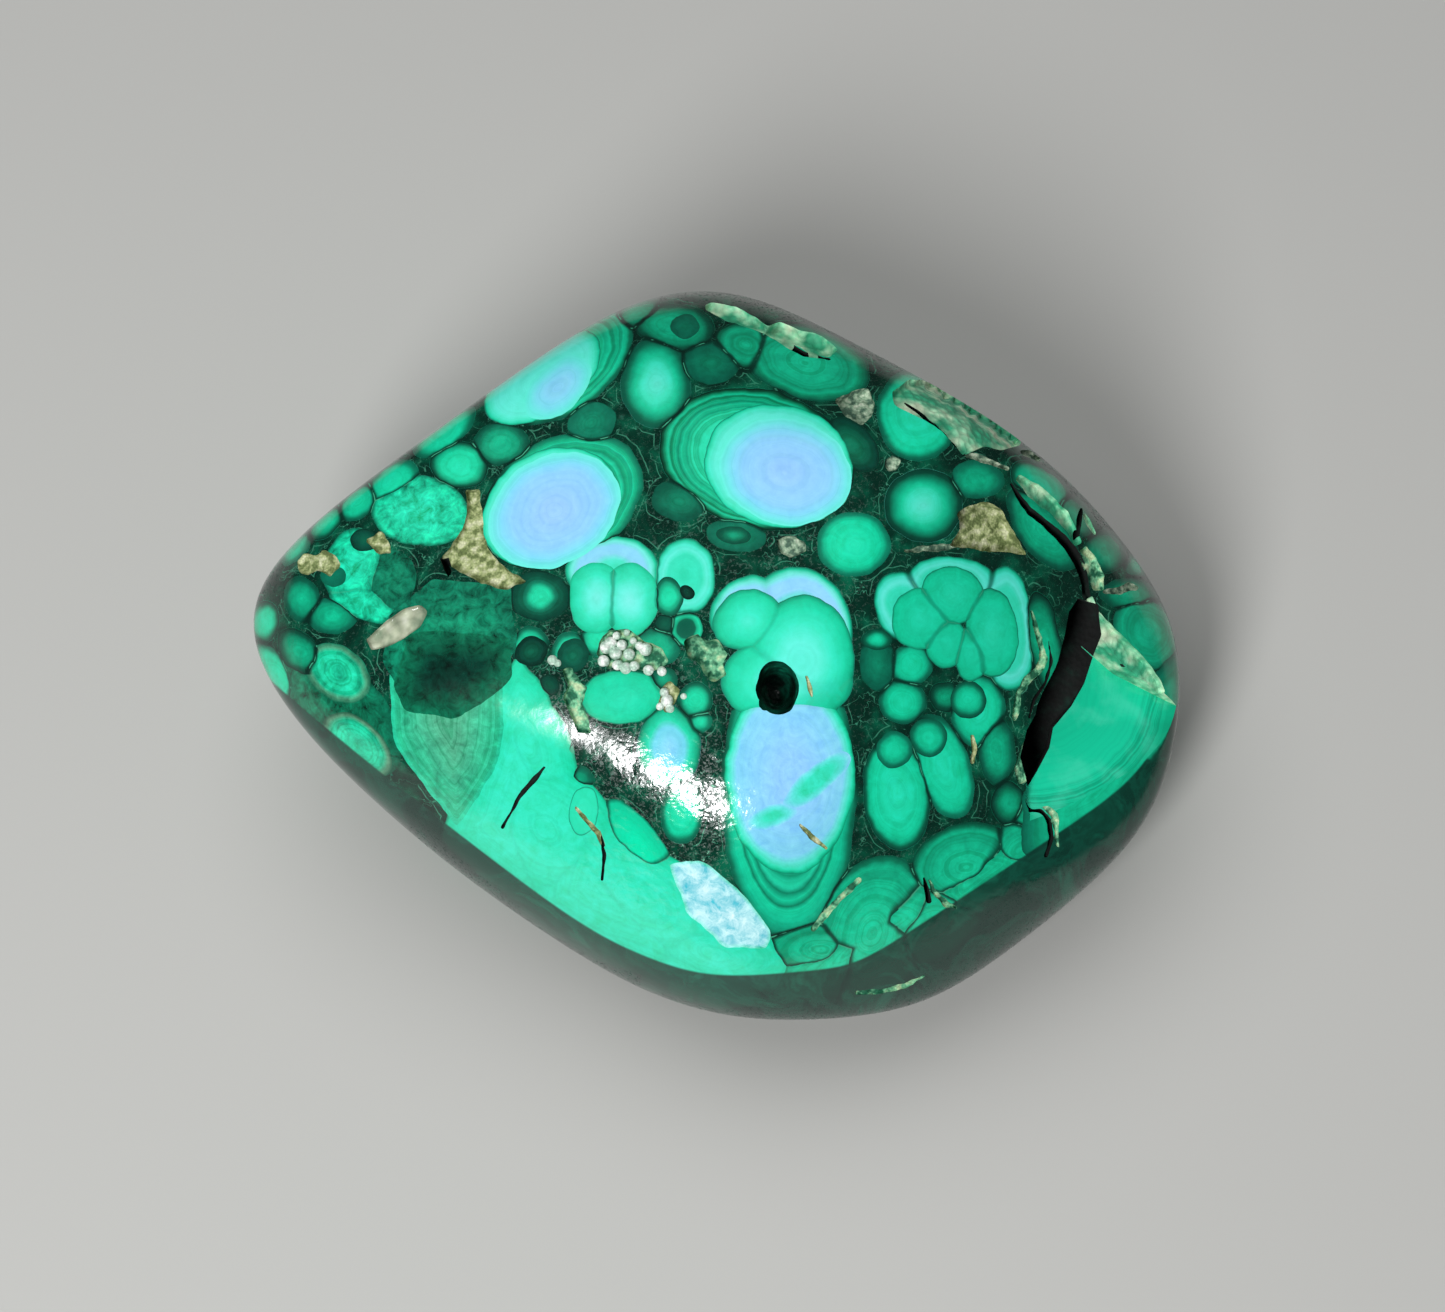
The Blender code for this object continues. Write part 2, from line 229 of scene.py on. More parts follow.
# Raw veins, cracks and broken edges: their surface, their depth, and their line with its width.
VEINS = {
    "pale strip": (
        "grey crust", 0.4,
        (18.3, 10.1, 0.29), (20.3, 10.4, 0.58), (22.3, 10.5, 0.68), (23.9, 10.8, 0.29),
    ),
    "far chip crack": (
        "dark hollow", 1.6,
        (-0.9, 33.7, 0.29), (1, 32.7, 0.29), (3.2, 32, 0.39), (5.1, 31.4, 0.58), (6.8, 30.3, 0.58),
        (8.7, 29.2, 0.39), (11.3, 28.7, 0.19),
    ),
    "flake crack": (
        "dark hollow", 1.5,
        (18.4, 25.1, 0.19), (19.8, 24.1, 0.29), (21.6, 22.5, 0.39), (22.7, 21.4, 0.48),
        (23.5, 20.3, 0.39), (24.2, 19.4, 0.19),
    ),
    "rim slit": (
        "grey crust", 0.4,
        (24.3, 19.5, 0.39), (25.6, 19.2, 0.68), (27.1, 18.6, 0.58), (28.5, 18.1, 0.29),
    ),
    "rim slit b": (
        "grey crust", 0.4,
        (29.5, 19.8, 0.29), (30.5, 19.5, 0.68), (31.5, 18.9, 0.39),
    ),
    "fissure": (
        "dark hollow", 4.5,
        (28.6, 16.8, 0.29), (29.3, 15.6, 0.58), (30.5, 14, 0.68), (32.1, 12.7, 0.77), (33.5, 11.5, 0.87),
        (34.6, 10.2, 1.06), (35.4, 8.6, 0.97), (35.9, 6.9, 0.77), (36, 5.5, 0.77),
    ),
    "flap edge upper": (
        "pale fracture", 0.5,
        (29.3, 17.3, 0.68), (30.8, 16.1, 1.55), (32.4, 14.7, 1.45), (33.7, 13.5, 1.26), (34.6, 12.1, 0.97),
        (35.2, 10.8, 0.77),
    ),
    "flap edge middle": (
        "pale crust", 0.5,
        (35.6, 10.5, 0.87), (36.4, 9.2, 1.26), (37, 7.7, 1.45), (37.1, 6.3, 1.06),
    ),
    "flap crack": (
        "dark hollow", 1.5,
        (35.5, 14.4, 0.19), (35.3, 13.1, 0.48), (35.1, 11.3, 0.29),
    ),
    "flap slip": (
        "pale fracture", 0.35,
        (35.7, 13.8, 0.29), (36.2, 12.8, 0.77), (36.9, 11.7, 0.39),
    ),
    "flap fuzz": (
        "grey crust", 0.3,
        (37.5, 6.2, 0.39), (39.2, 6.3, 0.68), (40.2, 6.8, 0.87), (41, 6.5, 0.39),
    ),
    "flap edge low": (
        "pale fracture", 0.7,
        (36.3, 5.7, 0.58), (36.6, 4.2, 1.06), (37.8, 2.4, 1.84), (39.4, 0.7, 1.94), (41.1, -1.1, 1.84),
        (42.6, -2.5, 1.26), (43.4, -3.6, 0.48),
    ),
    "flap foot crack": (
        "dark hollow", 1.2,
        (35.9, 4.5, 0.39), (36.9, 2.4, 0.39), (38.5, 0.3, 0.39), (40.5, -1.6, 0.39), (43.1, -3.7, 0.39),
    ),
    "block vein": (
        "pale crust", 0.5,
        (30.6, 4.5, 0.29), (31.1, 2.8, 0.39), (31.5, 1.1, 0.58), (31.9, -0.2, 0.87), (31.3, -1.4, 0.77),
        (30.2, -2.4, 0.77), (29.4, -3.6, 0.58), (29.2, -5.1, 0.68), (29, -6.3, 0.39),
    ),
    "block crack": (
        "dark hollow", 1.0,
        (32.3, 1.6, 0.19), (32.6, -0.5, 0.29), (32, -2.6, 0.39), (30.9, -4.2, 0.29), (30.4, -6.1, 0.29),
    ),
    "corner crack": (
        "dark hollow", 1.4,
        (30.1, -13.8, 0.39), (30.6, -15, 0.39), (31.7, -15, 0.29), (32.4, -16, 0.48), (32.6, -17.7, 0.48),
        (32, -19.5, 0.29),
    ),
    "corner chip": (
        "pale crust", 0.35,
        (30.2, -13.3, 0.39), (30.9, -14.1, 0.58), (32, -14.4, 0.68), (32.9, -15.4, 0.68),
        (33.1, -17.3, 0.48), (33.2, -18.5, 0.29),
    ),
    "near notch": (
        "dark hollow", 1.2,
        (20.2, -21.4, 0.19), (20.5, -22.5, 0.58), (20.8, -23.9, 0.39),
    ),
    "near notch edge": (
        "pale crust", 0.3,
        (20.7, -21.6, 0.19), (21.2, -22.8, 0.48), (22.4, -24, 0.58), (23.5, -24.4, 0.29),
    ),
    "near strip": (
        "pale crust", 0.4,
        (14.1, -21.5, 0.39), (13.1, -22.5, 0.68), (11.9, -23.7, 0.58), (10.6, -25.1, 0.77),
        (9.4, -26.6, 0.39),
    ),
    "yellow flake": (
        "tan crust", 0.2,
        (8.2, -16.3, 0.19), (9.3, -17.4, 0.58), (10.9, -18.7, 0.29),
    ),
    "hole splinter": (
        "tan crust", 0.25,
        (8.9, -1.9, 0.19), (9.2, -3, 0.48), (9.5, -4.2, 0.19),
    ),
    "mint crack": (
        "dark hollow", 0.8,
        (-16.4, -10.7, 0.29), (-17.6, -12.1, 0.48), (-18.9, -13.6, 0.39), (-19.8, -15.3, 0.29),
        (-20.6, -16.7, 0.19),
    ),
    "mint crack b": (
        "dark hollow", 0.6,
        (-11.1, -17.5, 0.19), (-10.7, -19.2, 0.29), (-10.9, -21.8, 0.19),
    ),
    "drop crack": (
        "tan crust", 0.3,
        (-13.5, -14.6, 0.19), (-12.5, -15.8, 0.39), (-11.3, -17.1, 0.58), (-10.7, -18.5, 0.29),
    ),
    "wall crack": (
        "pale crust", 0.3,
        (13.6, -32.6, 0.29), (16.1, -32.5, 0.48), (18.4, -31.9, 0.39), (20.4, -30.9, 0.29),
    ),
    "yellow vug": (
        "tan crust", 0.4,
        (24.9, -7.6, 0.29), (25.2, -9, 0.58), (24.9, -10.5, 0.29),
    ),
}
LATE_SURFACE = "dark hollow"  # cracks are cut last, through the crusts beside them
LOWEST_FAR = 5.0  # raw places of the far edge end here, this far out from the core
LOWEST_NEAR = -8.0
FAR_EDGE_FROM = 10  # the far edge starts this far up
# The skin is read on a grid: how far it reaches across and up, its step, and how it is read.
SKIN_ACROSS = 52
SKIN_UP = 42
SKIN_STEP = 0.5
OVER_THE_SKIN = 30.0
SKIN_HALVINGS = 22
HOLLOW_ABOVE = 0.9  # a raw place's cutter starts this far outside the skin
SURFACE_GRAIN = {
    # how coarse the lumps are and how high, in millimetres
    "dark hollow": (0.9, 0.16),
    "tan crust": (0.55, 0.34),
    "grey crust": (0.5, 0.34),
    "pale crust": (0.6, 0.36),
    "pale fracture": (1.2, 0.24),
    "glossy tan": (2.5, 0.16),
}
WIDE_STEP = 0.2
THIN_STEP = 0.14

# Malachite eyes, the cut ends of its columns, read on the show side: across, up, half length,
# half width, turn, style of banding, and layer (a higher layer lies over a lower one).
EYES = {
    # the far side of the show face
    "big eye": (4.1, 19.1, 9.4, 6.5, -15, "ringed", 0),
    "big eye core": (6.2, 18.4, 7.0, 5.7, -10, "mint core", 1),
    "big eye heart": (6.9, 17.8, 6.2, 4.9, -12, "pale heart with painted blue sheen", 2),
    "left big eye": (-14.8, 15.0, 8.1, 5.8, 30, "ringed", 0),
    "left big eye core": (-15.9, 14.4, 6.8, 5.2, 30, "mint core", 1),
    "left big eye heart": (-15.5, 14.1, 6.5, 5.0, 32, "pale heart with painted blue sheen", 2),
    "far left eye": (-15.0, 28.3, 7.7, 4.5, 35, "ringed", 0),
    "far left eye core": (-16.7, 27.0, 6.2, 3.3, 35, "mint core", 1),
    "far left eye heart": (-15.2, 26.0, 3.6, 2.1, 42, "pale heart with painted blue sheen", 2),
    "pale pebble": (-5.7, 26.4, 3.2, 4.1, 0, "soft core", 0),
    "far rim cell": (-3.9, 31.9, 3.7, 2.1, -8, "mid", 0),
    "far rim eye": (-2.9, 31.9, 1.2, 1.0, 0, "dark", 1),
    "far rim patch": (-7.6, 33.3, 2.3, 1.2, 20, "mid", 0),
    "chipped cell": (3.0, 30.1, 2.7, 2.1, -10, "banded", 0),
    "dark far cell": (-0.4, 28.4, 2.5, 1.8, -10, "dark", 0),
    "far banded cell": (8.8, 28.4, 6.0, 3.3, -15, "banded", 0),
    "dark bead a": (-11.9, 22.7, 2.1, 1.8, 10, "dark", 0),
    "dark bead b": (-3.5, 15.0, 2.4, 1.8, -10, "dark", 0),
    "dark bead c": (13.3, 20.4, 2.8, 1.8, -45, "dark", 0),
    "narrow eye": (2.1, 11.7, 2.6, 1.5, -5, "dark", 0),
    "narrow eye core": (1.8, 11.7, 1.3, 0.7, -5, "mid", 1),
    "round light": (13.5, 10.8, 3.3, 2.9, 0, "light", 0),
    "far right light": (19.6, 23.4, 3.7, 4.3, 0, "light", 0),
    "pale round eye": (20.2, 14.6, 3.6, 3.3, 0, "soft core", 0),
    "small right": (25.4, 17.1, 2.3, 1.7, 0, "mid", 0),
    "beside the fissure": (31.7, 12.3, 4.6, 2.1, -52, "mid", 0),
    # flower of lobes at the right
    "petal left": (18.5, 4.8, 2.7, 3.2, 25, "aqua", 0),
    "petal top": (22.8, 6.9, 4.1, 2.6, 0, "aqua", 0),
    "petal right": (28.2, 2.6, 2.6, 5.8, 4, "aqua", 0),
    "lobe left": (20.0, 3.6, 2.6, 2.8, 0, "petal", 1),
    "lobe top": (23.0, 5.9, 2.7, 2.6, 0, "petal", 1),
    "lobe right": (26.8, 2.2, 2.4, 4.1, 3, "petal", 1),
    "lobe low": (22.4, 1.3, 1.9, 2.1, 0, "petal", 1),
    "lobe low right": (24.9, 0.2, 1.6, 2.5, 0, "petal", 1),
    "strip by the step": (32.0, 1.1, 1.5, 4.8, 10, "mid", 0),
    "dark with crescent": (15.8, -0.5, 1.5, 2.7, 0, "dark", 0),
    "crescent": (15.8, 1.7, 1.2, 0.8, 0, "light", 1),
    "bead right a": (19.0, -0.8, 1.9, 1.8, 0, "light", 0),
    "bead right b": (18.2, -4.4, 2.1, 2.0, 0, "light", 0),
    "bead right c": (22.3, -3.9, 1.3, 1.3, 0, "mid", 0),
    "curl": (25.5, -5.3, 2.5, 3.2, 0, "light", 0),
    "curl core": (24.5, -4.2, 1.5, 1.5, 0, "light", 1),
    "long cell": (22.1, -10.7, 5.0, 2.4, -72, "light", 0),
    "long cell eye": (20.7, -7.9, 1.6, 1.7, 0, "light", 1),
    "long cell left": (17.6, -13.4, 5.2, 3.1, -83, "light", 0),
    "long cell left eye": (17.4, -9.2, 1.5, 1.5, 0, "light", 1),
    "wrinkled cell": (27.3, -9.2, 1.6, 3.1, 0, "mid", 0),
    "small corner cell": (28.5, -14.3, 1.5, 1.9, 0, "mid", 0),
    "corner cell": (31.0, -16.0, 2.1, 2.5, 20, "mid", 0),
    "near right cell": (24.4, -20.4, 5.2, 3.9, 14, "banded", 0),
    "near right cell b": (29.5, -18.7, 3.3, 2.5, 35, "banded", 0),
    "near cell": (15.2, -26.8, 7.4, 5.3, 70, "banded", 0),
    "near cell b": (10.2, -28.4, 5.8, 2.7, 5, "banded", 0),
    "rim cell": (20.8, -25.9, 5.8, 3.3, 30, "banded", 0),
    # the kidney and its column
    "kidney": (7.9, 1.9, 5.3, 6.5, 0, "pale rim with painted blue sheen", 0),
    "kidney left": (3.6, 4.1, 3.9, 3.4, 15, "pale rim with painted blue sheen", 0),
    "column": (7.2, -13.2, 6.4, 14.2, 0, "column foot", 0),
    "column core": (7.3, -11.6, 6.1, 9.2, 0, "pale column with painted blue sheen", 1),
    "column top": (7.0, -2.4, 6.2, 4.0, 0, "kidney lobe", 1),
    "mint streak": (9.9, -12.0, 3.6, 1.2, 38, "mint streak", 2),
    "mint streak low": (5.6, -15.6, 2.2, 1.0, 15, "mint streak", 2),
    "kidney left lobe": (3.3, 3.4, 3.3, 2.8, 15, "kidney lobe", 1),
    "kidney body": (8.4, -0.5, 5.0, 6.1, 0, "kidney lobe", 1),
    # cells left of the kidney
    "twin cell": (-9.9, 8.2, 4.3, 3.2, 0, "pale rim with painted blue sheen", 0),
    "twin lobe left": (-11.5, 5.6, 2.5, 3.2, 0, "twin lobe", 1),
    "twin lobe right": (-8.2, 5.5, 2.7, 3.2, 0, "twin lobe", 1),
    "cup cell": (-2.8, 7.7, 2.7, 3.5, 0, "aqua", 0),
    "cup inner": (-4.4, 5.7, 1.2, 1.6, 0, "light", 1),
    "cup dot": (-2.6, 6.1, 0.5, 0.5, 0, "dark", 2),
    "ring bead": (-2.7, 2.7, 1.4, 1.4, 0, "target", 0),
    "dark bead d": (-4.8, 3.0, 0.8, 0.8, 0, "dark", 0),
    "ball bed": (-5.6, 0.9, 2.0, 1.7, 0, "mid", 0),
    "bead e": (-4.9, -2.3, 1.1, 1.0, 0, "mid", 0),
    "broad cell": (-9.0, -4.0, 3.8, 2.4, 0, "petal", 0),
    "ball bed left": (-11.3, 1.6, 1.5, 1.4, 0, "light", 0),
    "bead f": (-1.8, -4.3, 1.4, 1.5, 0, "light", 0),
    "bead g": (-1.5, -6.3, 0.9, 0.9, 0, "light", 0),
    "dome": (-4.4, -8.8, 2.9, 3.7, 0, "dome with painted blue highlight", 0),
    "dark ring bead": (-17.0, 5.8, 2.7, 2.3, 0, "dark", 0),
    "dark ring core": (-17.0, 5.8, 1.5, 1.4, 0, "light", 1),
    "crescent bead a": (-17.9, 0.9, 1.7, 1.6, 0, "light", 0),
    "crescent bead a core": (-17.7, 0.4, 1.4, 1.2, 0, "dark", 1),
    "crescent bead b": (-13.9, 0.5, 1.6, 1.7, 0, "light", 0),
    "crescent bead b core": (-13.6, 0.2, 1.3, 1.4, 0, "dark", 1),
    "bead h": (-15.1, -9.5, 1.3, 1.6, 0, "light", 0),
    "bead i": (-13.1, -11.8, 1.1, 1.0, 0, "mid", 0),
    "bead j": (-16.0, -2.8, 0.8, 0.8, 0, "dark", 0),
    "outlined drop": (-12.7, -15.0, 1.3, 2.1, -6, "outlined", 2),
    # the left end
    "left mid": (-20.7, 20.5, 2.5, 1.9, 0, "mid", 0),
    "left mid b": (-24.7, 18.5, 2.6, 2.1, 0, "light", 0),
    "rim left a": (-26.3, 21.8, 3.3, 1.6, 35, "light", 0),
    "patched cell": (-28.5, 14.0, 4.5, 3.2, -8, "patchy", 0),
    "rim left b": (-31.2, 16.9, 2.5, 1.6, 35, "light", 0),
    "rim left c": (-34.6, 14.9, 2.1, 1.3, 38, "light", 0),
    "rim left d": (-37.7, 13.0, 1.9, 1.1, 40, "light", 0),
    "rim left e": (-40.6, 10.5, 1.7, 0.9, 52, "light", 0),
    "light patch": (-35.1, 8.8, 2.6, 3.4, -20, "patchy", 0),
    "light patch low": (-34.2, 5.2, 3.1, 1.5, -25, "patchy", 0),
    "mottled cell": (-31.3, 7.3, 2.1, 2.6, 0, "mottled", 0),
    "mottled spot": (-33.9, 11.2, 1.1, 0.9, 0, "dark", 1),
    "olive spot": (-36.9, 7.7, 1.0, 0.8, 0, "dark", 1),
    "tip cell": (-40.0, 5.5, 1.5, 2.1, 15, "mid", 0),
    "tip bead": (-43.6, 3.4, 1.3, 1.8, 0, "light", 0),
    "tip cell b": (-37.2, 3.9, 2.3, 1.5, -5, "mid", 0),
    "swirl base": (-36.4, -5.4, 7.5, 4.0, -46, "mottled", 0),
    "swirl": (-36.5, -1.6, 3.3, 2.3, -35, "swirl", 1),
    "swirl low": (-34.6, -8.6, 3.7, 2.2, -42, "swirl", 1),
    "swirl edge": (-40.2, 0.4, 2.3, 1.5, -50, "mid", 1),
    "rim left low": (-42.4, -2.0, 3.6, 1.6, -56, "light", 0),
    "rim left low b": (-38.9, -8.2, 4.2, 1.6, -48, "light", 0),
    "rim left low c": (-33.2, -13.6, 4.4, 1.7, -42, "mid", 0),
    "speckled eye": (-3.1, -15.2, 2.7, 1.9, 90, "light", 0),
    # the broad light cell along the near left edge
    "broad light": (-18.1, -8.5, 3.7, 7.0, 28, "mint", 0),
    "broad light a": (-16.5, -16.7, 9.2, 6.0, -42, "mint", 0),
    "broad light b": (-7.3, -23.5, 10.6, 5.0, -32, "mint", 0),
    "broad light c": (0.1, -28.8, 8.2, 3.3, -12, "mint", 0),
    "saturated strip": (-7.3, -18.7, 5.3, 2.2, -55, "vivid", 0),
    # the flap and the far right rim
    "flap eye": (37.8, 10.1, 2.0, 1.9, 0, "mid", 0),
    "flap low": (41.9, 2.3, 3.6, 3.0, -60, "banded", 0),
    "flap dark": (40.2, 6.0, 2.6, 1.4, 0, "mid", 0),
    "flap upper": (31.5, 16.5, 3.1, 1.6, -35, "light", 0),
    "flap small": (41.1, 8.8, 1.1, 1.0, 0, "light", 0),
    "flap middle": (35.0, 13.6, 2.2, 1.2, -50, "mid", 0),
}

# Cells with straighter borders: their style, their layer, and their border (across, up).
AREAS = {
    "dish": (
        "velvet", 3,
        (-31.1, -2.7), (-30, -5.3), (-25.2, -6.1), (-22.2, -4.3), (-19.4, -2), (-19.9, 1.7),
        (-25.2, 2.5), (-29.6, 2.1),
    ),
    "dish above": (
        "mottled", 2,
        (-32.2, -0.5), (-29.6, -4.3), (-22.2, -2.7), (-19.2, 0.6), (-19.9, 7.0), (-27.4, 7.3),
        (-31.5, 4.0),
    ),
    "tongue": (
        "agate", 1,
        (-31.2, -8.0), (-27.9, -13.0), (-24.9, -16.4), (-21.4, -11.4), (-20.6, -8.3), (-20.4, 3.0),
        (-31.6, 3.0),
    ),
    # a painted highlight: the key light's pale blue-white reflection on the near polish
    "painted highlight patch": (
        "patch", 2,
        (-2.6, -25), (0.7, -28), (4.9, -28.3), (5.5, -26.6), (1.9, -22.1), (-1.3, -19.8),
        (-4.4, -20.2),
    ),
    "slab rim": (
        "slab rim", 2,
        (29.7, -18.7), (31.5, -21.6), (40.2, -17.2), (46.9, -8), (46, 1.6), (29.7, -13.4),
    ),
    "mint sheet left": (
        "mint", 0,
        (-26.6, -17.7), (-23.7, -20.6), (-16.9, -25.5), (-14.2, -12.9), (-16.2, -3.4), (-19, 0.1),
        (-22.4, -5.3),
    ),
    "mint sheet middle": (
        "mint", 0,
        (-18.9, -25), (-12.9, -28.8), (-1.5, -33.2), (-2, -26.9), (-6.3, -19.5), (-10.5, -14.4),
        (-15.4, -10.9),
    ),
    "mint sheet right": (
        "mint", 0,
        (-7.3, -32.2), (0, -34.2), (5.8, -33.7), (5.5, -29.1), (-1.5, -27.2), (-7.3, -21.6),
    ),
    "near sheet": (
        "near sheet", 0,
        (5.8, -33.7), (14, -33.2), (23.7, -26.4), (21.8, -22.5), (16, -20.4), (12.6, -23.5),
        (5.8, -29.1),
    ),
    "near sheet right": (
        "near sheet", 0,
        (23.7, -26.9), (31.9, -20.6), (31, -17.9), (25.2, -16.7), (21, -20.6), (20.6, -24),
    ),
}
# The lower border of the show face, below which the steep near wall starts and is darkened as painted
# shade.
WALL_BORDER = (
    (-37.3, -7.5), (-30.5, -13.5), (-22.7, -19.4), (-12.9, -26.6), (-4.9, -30.2), (0, -31.4),
    (5.5, -31.2), (14, -30.1), (21.8, -25.5), (31.5, -18.9), (39.7, -13.2), (43.8, -7.5),
    (45.5, -3.2),
)

# Styles of banding: how deep the style reaches, how strong its fine bands, its dark seams with its
# neighbours and its blotches are, and its colours by depth from the rim of the eye, in millimetres.
STYLES = {
    "ringed": (
        5.0, 0.6, 1.0, 0.15,
        (0, "#021a14"), (0.3, "#066349"), (0.55, "#0ba87e"), (0.8, "#10c294"), (0.95, "#0a8f6b"),
        (1.3, "#0fb789"), (1.6, "#078562"), (1.9, "#12bf91"), (2.3, "#0a9a72"), (2.6, "#1ccb9d"),
        (5, "#27dbb0"),
    ),
    "column foot": (
        6.5, 0.25, 1.0, 0.15,
        (0, "#02261d"), (0.4, "#05573f"), (1.2, "#0cb088"), (2.1, "#12c496"), (2.4, "#056b4e"),
        (2.8, "#14c598"), (3.3, "#056b4e"), (3.7, "#22d3a8"), (4.3, "#078562"), (4.9, "#2fdcb6"),
        (6.5, "#33dcb9"),
    ),
    "mint core": (
        5.0, 0.1, 0.6, 0.12,
        (0, "#04543f"), (0.15, "#18c79c"), (0.45, "#45dfc0"), (1.0, "#5ee5d2"), (5, "#62e6d6"),
    ),
    # pale malachite hearts, tinted blue-white as painted sheen of the light
    "pale heart with painted blue sheen": (
        5.0, 0.1, 0.0, 0.1,
        (0, "#62e6d6"), (0.5, "#6adddf"), (1.2, "#7dd0ee"), (2.0, "#8bc9f5"), (5, "#93c3f8"),
    ),
    "near sheet": (
        4.0, 0.35, 0.2, 0.25,
        (0, "#033d2e"), (0.35, "#077554"), (0.9, "#0ba27a"), (2, "#0fba8b"), (4, "#17c898"),
    ),
    "slab rim": (
        4.0, 0.3, 0.2, 0.15,
        (0, "#033a2c"), (0.4, "#066650"), (1.4, "#088c69"), (2.6, "#0cac82"), (4, "#10bf90"),
    ),
    "kidney lobe": (
        4.0, 0.06, 0.15, 0.12,
        (0, "#05604a"), (0.18, "#0c9a74"), (0.5, "#14be91"), (1.2, "#1fd0a5"), (2.4, "#35dfbc"),
        (4, "#5ce8d4"),
    ),
    "soft core": (
        4.0, 0.12, 1.0, 0.15,
        (0, "#021a14"), (0.4, "#043528"), (0.65, "#076349"), (1.1, "#0a9a74"), (1.6, "#18c598"),
        (2.4, "#3fdcbc"), (4, "#62e2d0"),
    ),
    "mid": (
        3.0, 0.25, 1.0, 0.25,
        (0, "#021a14"), (0.4, "#054a38"), (0.9, "#088a66"), (1.6, "#0ba87e"), (3, "#0fbb8d"),
    ),
    "dark": (
        2.0, 0.4, 0.8, 0.25,
        (0, "#021a14"), (0.4, "#03352a"), (1.1, "#05523d"), (2, "#076a4e"),
    ),
    "light": (
        4.0, 0.2, 0.9, 0.2,
        (0, "#021f18"), (0.3, "#055a43"), (0.6, "#0ca87f"), (0.9, "#10c495"), (1.5, "#16d0a0"),
        (4, "#25dfb4"),
    ),
    "banded": (
        5.0, 0.4, 0.9, 0.2,
        (0, "#02261d"), (0.35, "#066a4e"), (0.9, "#0dac81"), (1.3, "#0b9a73"), (2.4, "#10b589"),
        (5, "#17c697"),
    ),
    "mint streak": (
        2.0, 0.0, 0.0, 0.3,
        (0, "#86cbf2"), (0.5, "#5cd8d4"), (1.2, "#35d3b0"),
    ),
    "petal": (
        4.0, 0.08, 0.4, 0.16,
        (0, "#055a43"), (0.2, "#0fb488"), (0.6, "#12c496"), (2, "#1ccda2"), (4, "#2ad7af"),
    ),
    "twin lobe": (
        4.0, 0.05, 0.45, 0.14,
        (0, "#0fa980"), (0.25, "#16c397"), (1.1, "#30d9b4"), (2.0, "#5ce3d0"), (4, "#86e6e4"),
    ),
    "mint": (
        4.0, 0.12, 0.05, 0.2,
        (0, "#0a8a66"), (0.3, "#14c598"), (1.2, "#20d3a8"), (4, "#33dab4"),
    ),
    "vivid": (
        3.0, 0.1, 0.8, 0.1,
        (0, "#034432"), (0.3, "#09b98c"), (3, "#05dba6"),
    ),
    "aqua": (
        4.0, 0.1, 0.7, 0.12,
        (0, "#034a38"), (0.2, "#18b992"), (0.5, "#45dcc4"), (0.9, "#5be3d2"), (1.4, "#35d8b6"),
        (4, "#25cfa8"),
    ),
    # the column's pale middle, tinted blue-white as painted sheen of the light
    "pale column with painted blue sheen": (
        6.0, 0.08, 0.1, 0.2,
        (0, "#06785a"), (0.2, "#12bd8f"), (0.4, "#2fd8b2"), (0.8, "#5cdfd0"), (1.4, "#80ccee"),
        (6, "#8fc5f7"),
    ),
    # a pale band, tinted blue-white as painted sheen of the light
    "pale rim with painted blue sheen": (
        3.4, 0.08, 0.1, 0.12,
        (0, "#04543f"), (0.25, "#18bb93"), (0.6, "#6fe0d8"), (1.1, "#8ccbf4"), (2.0, "#8fcbf6"),
        (2.7, "#4fdcc6"), (3.4, "#3ad9b8"),
    ),
    # painted highlight: the dome's middle turns blue-white where the light's reflection falls
    "dome with painted blue highlight": (
        4.0, 0.1, 0.8, 0.15,
        (0, "#043d2e"), (0.5, "#0aa37a"), (1.2, "#1fcda5"), (1.8, "#6fcbe6"), (4, "#90c8f6"),
    ),
    "velvet": (
        6.0, 0.1, 0.0, 0.8,
        (0, "#066245"), (0.6, "#065b41"), (1.6, "#044733"), (2.8, "#023025"), (6, "#011f16"),
    ),
    "mottled": (
        3.0, 0.15, 0.2, 0.9,
        (0, "#044a35"), (1, "#05543c"), (3, "#066245"),
    ),
    "patchy": (
        4.0, 0.05, 0.3, 0.75,
        (0, "#055a43"), (0.4, "#10b78b"), (4, "#22cfa6"),
    ),
    "swirl": (
        2.5, 0.5, 1.0, 0.45,
        (0, "#28402f"), (0.35, "#557a60"), (0.8, "#12a880"), (1.4, "#22c79b"), (2.5, "#1ab38a"),
    ),
    "agate": (
        4.0, 0.45, 0.1, 0.4,
        (0, "#1fb98f"), (0.5, "#2cb88d"), (2, "#3cb28a"), (4, "#4fa582"),
    ),
    "target": (
        1.5, 0.0, 1.0, 0.1,
        (0, "#087656"), (0.25, "#12c897"), (0.6, "#07966d"), (0.75, "#043528"), (1.1, "#02261d"),
        (1.5, "#02201a"),
    ),
    "outlined": (
        3.0, 0.05, 0.9, 0.1,
        (0, "#154f3b"), (0.15, "#29d3a9"), (3, "#38dfb5"),
    ),
    # painted highlight: the pale blue-white of the light's reflection, mottled
    "patch": (
        3.0, 0.0, 0.1, 0.9,
        (0, "#7fe0cf"), (0.4, "#a9dcec"), (3, "#bfe2f2"),
    ),
}
MALACHITE_IOR = 1.65
WAVE_HEIGHT = 0.22  # of the polish's waves, in millimetres, before they are weakened
AREA_ROUNDING = 0.6  # of the corners of an area
WALL_ROUNDING = 2.5  # of the corners of the near wall's border
DARK_RIM = 0.22  # the eyes were read at the inner edge of a dark rim this wide, in millimetres
COARSE_MIDDLE = (-3.4, -15.5, 1)  # the middle of the ground's coarse, badly polished place, where pale specks crowd in, partly as painted glints
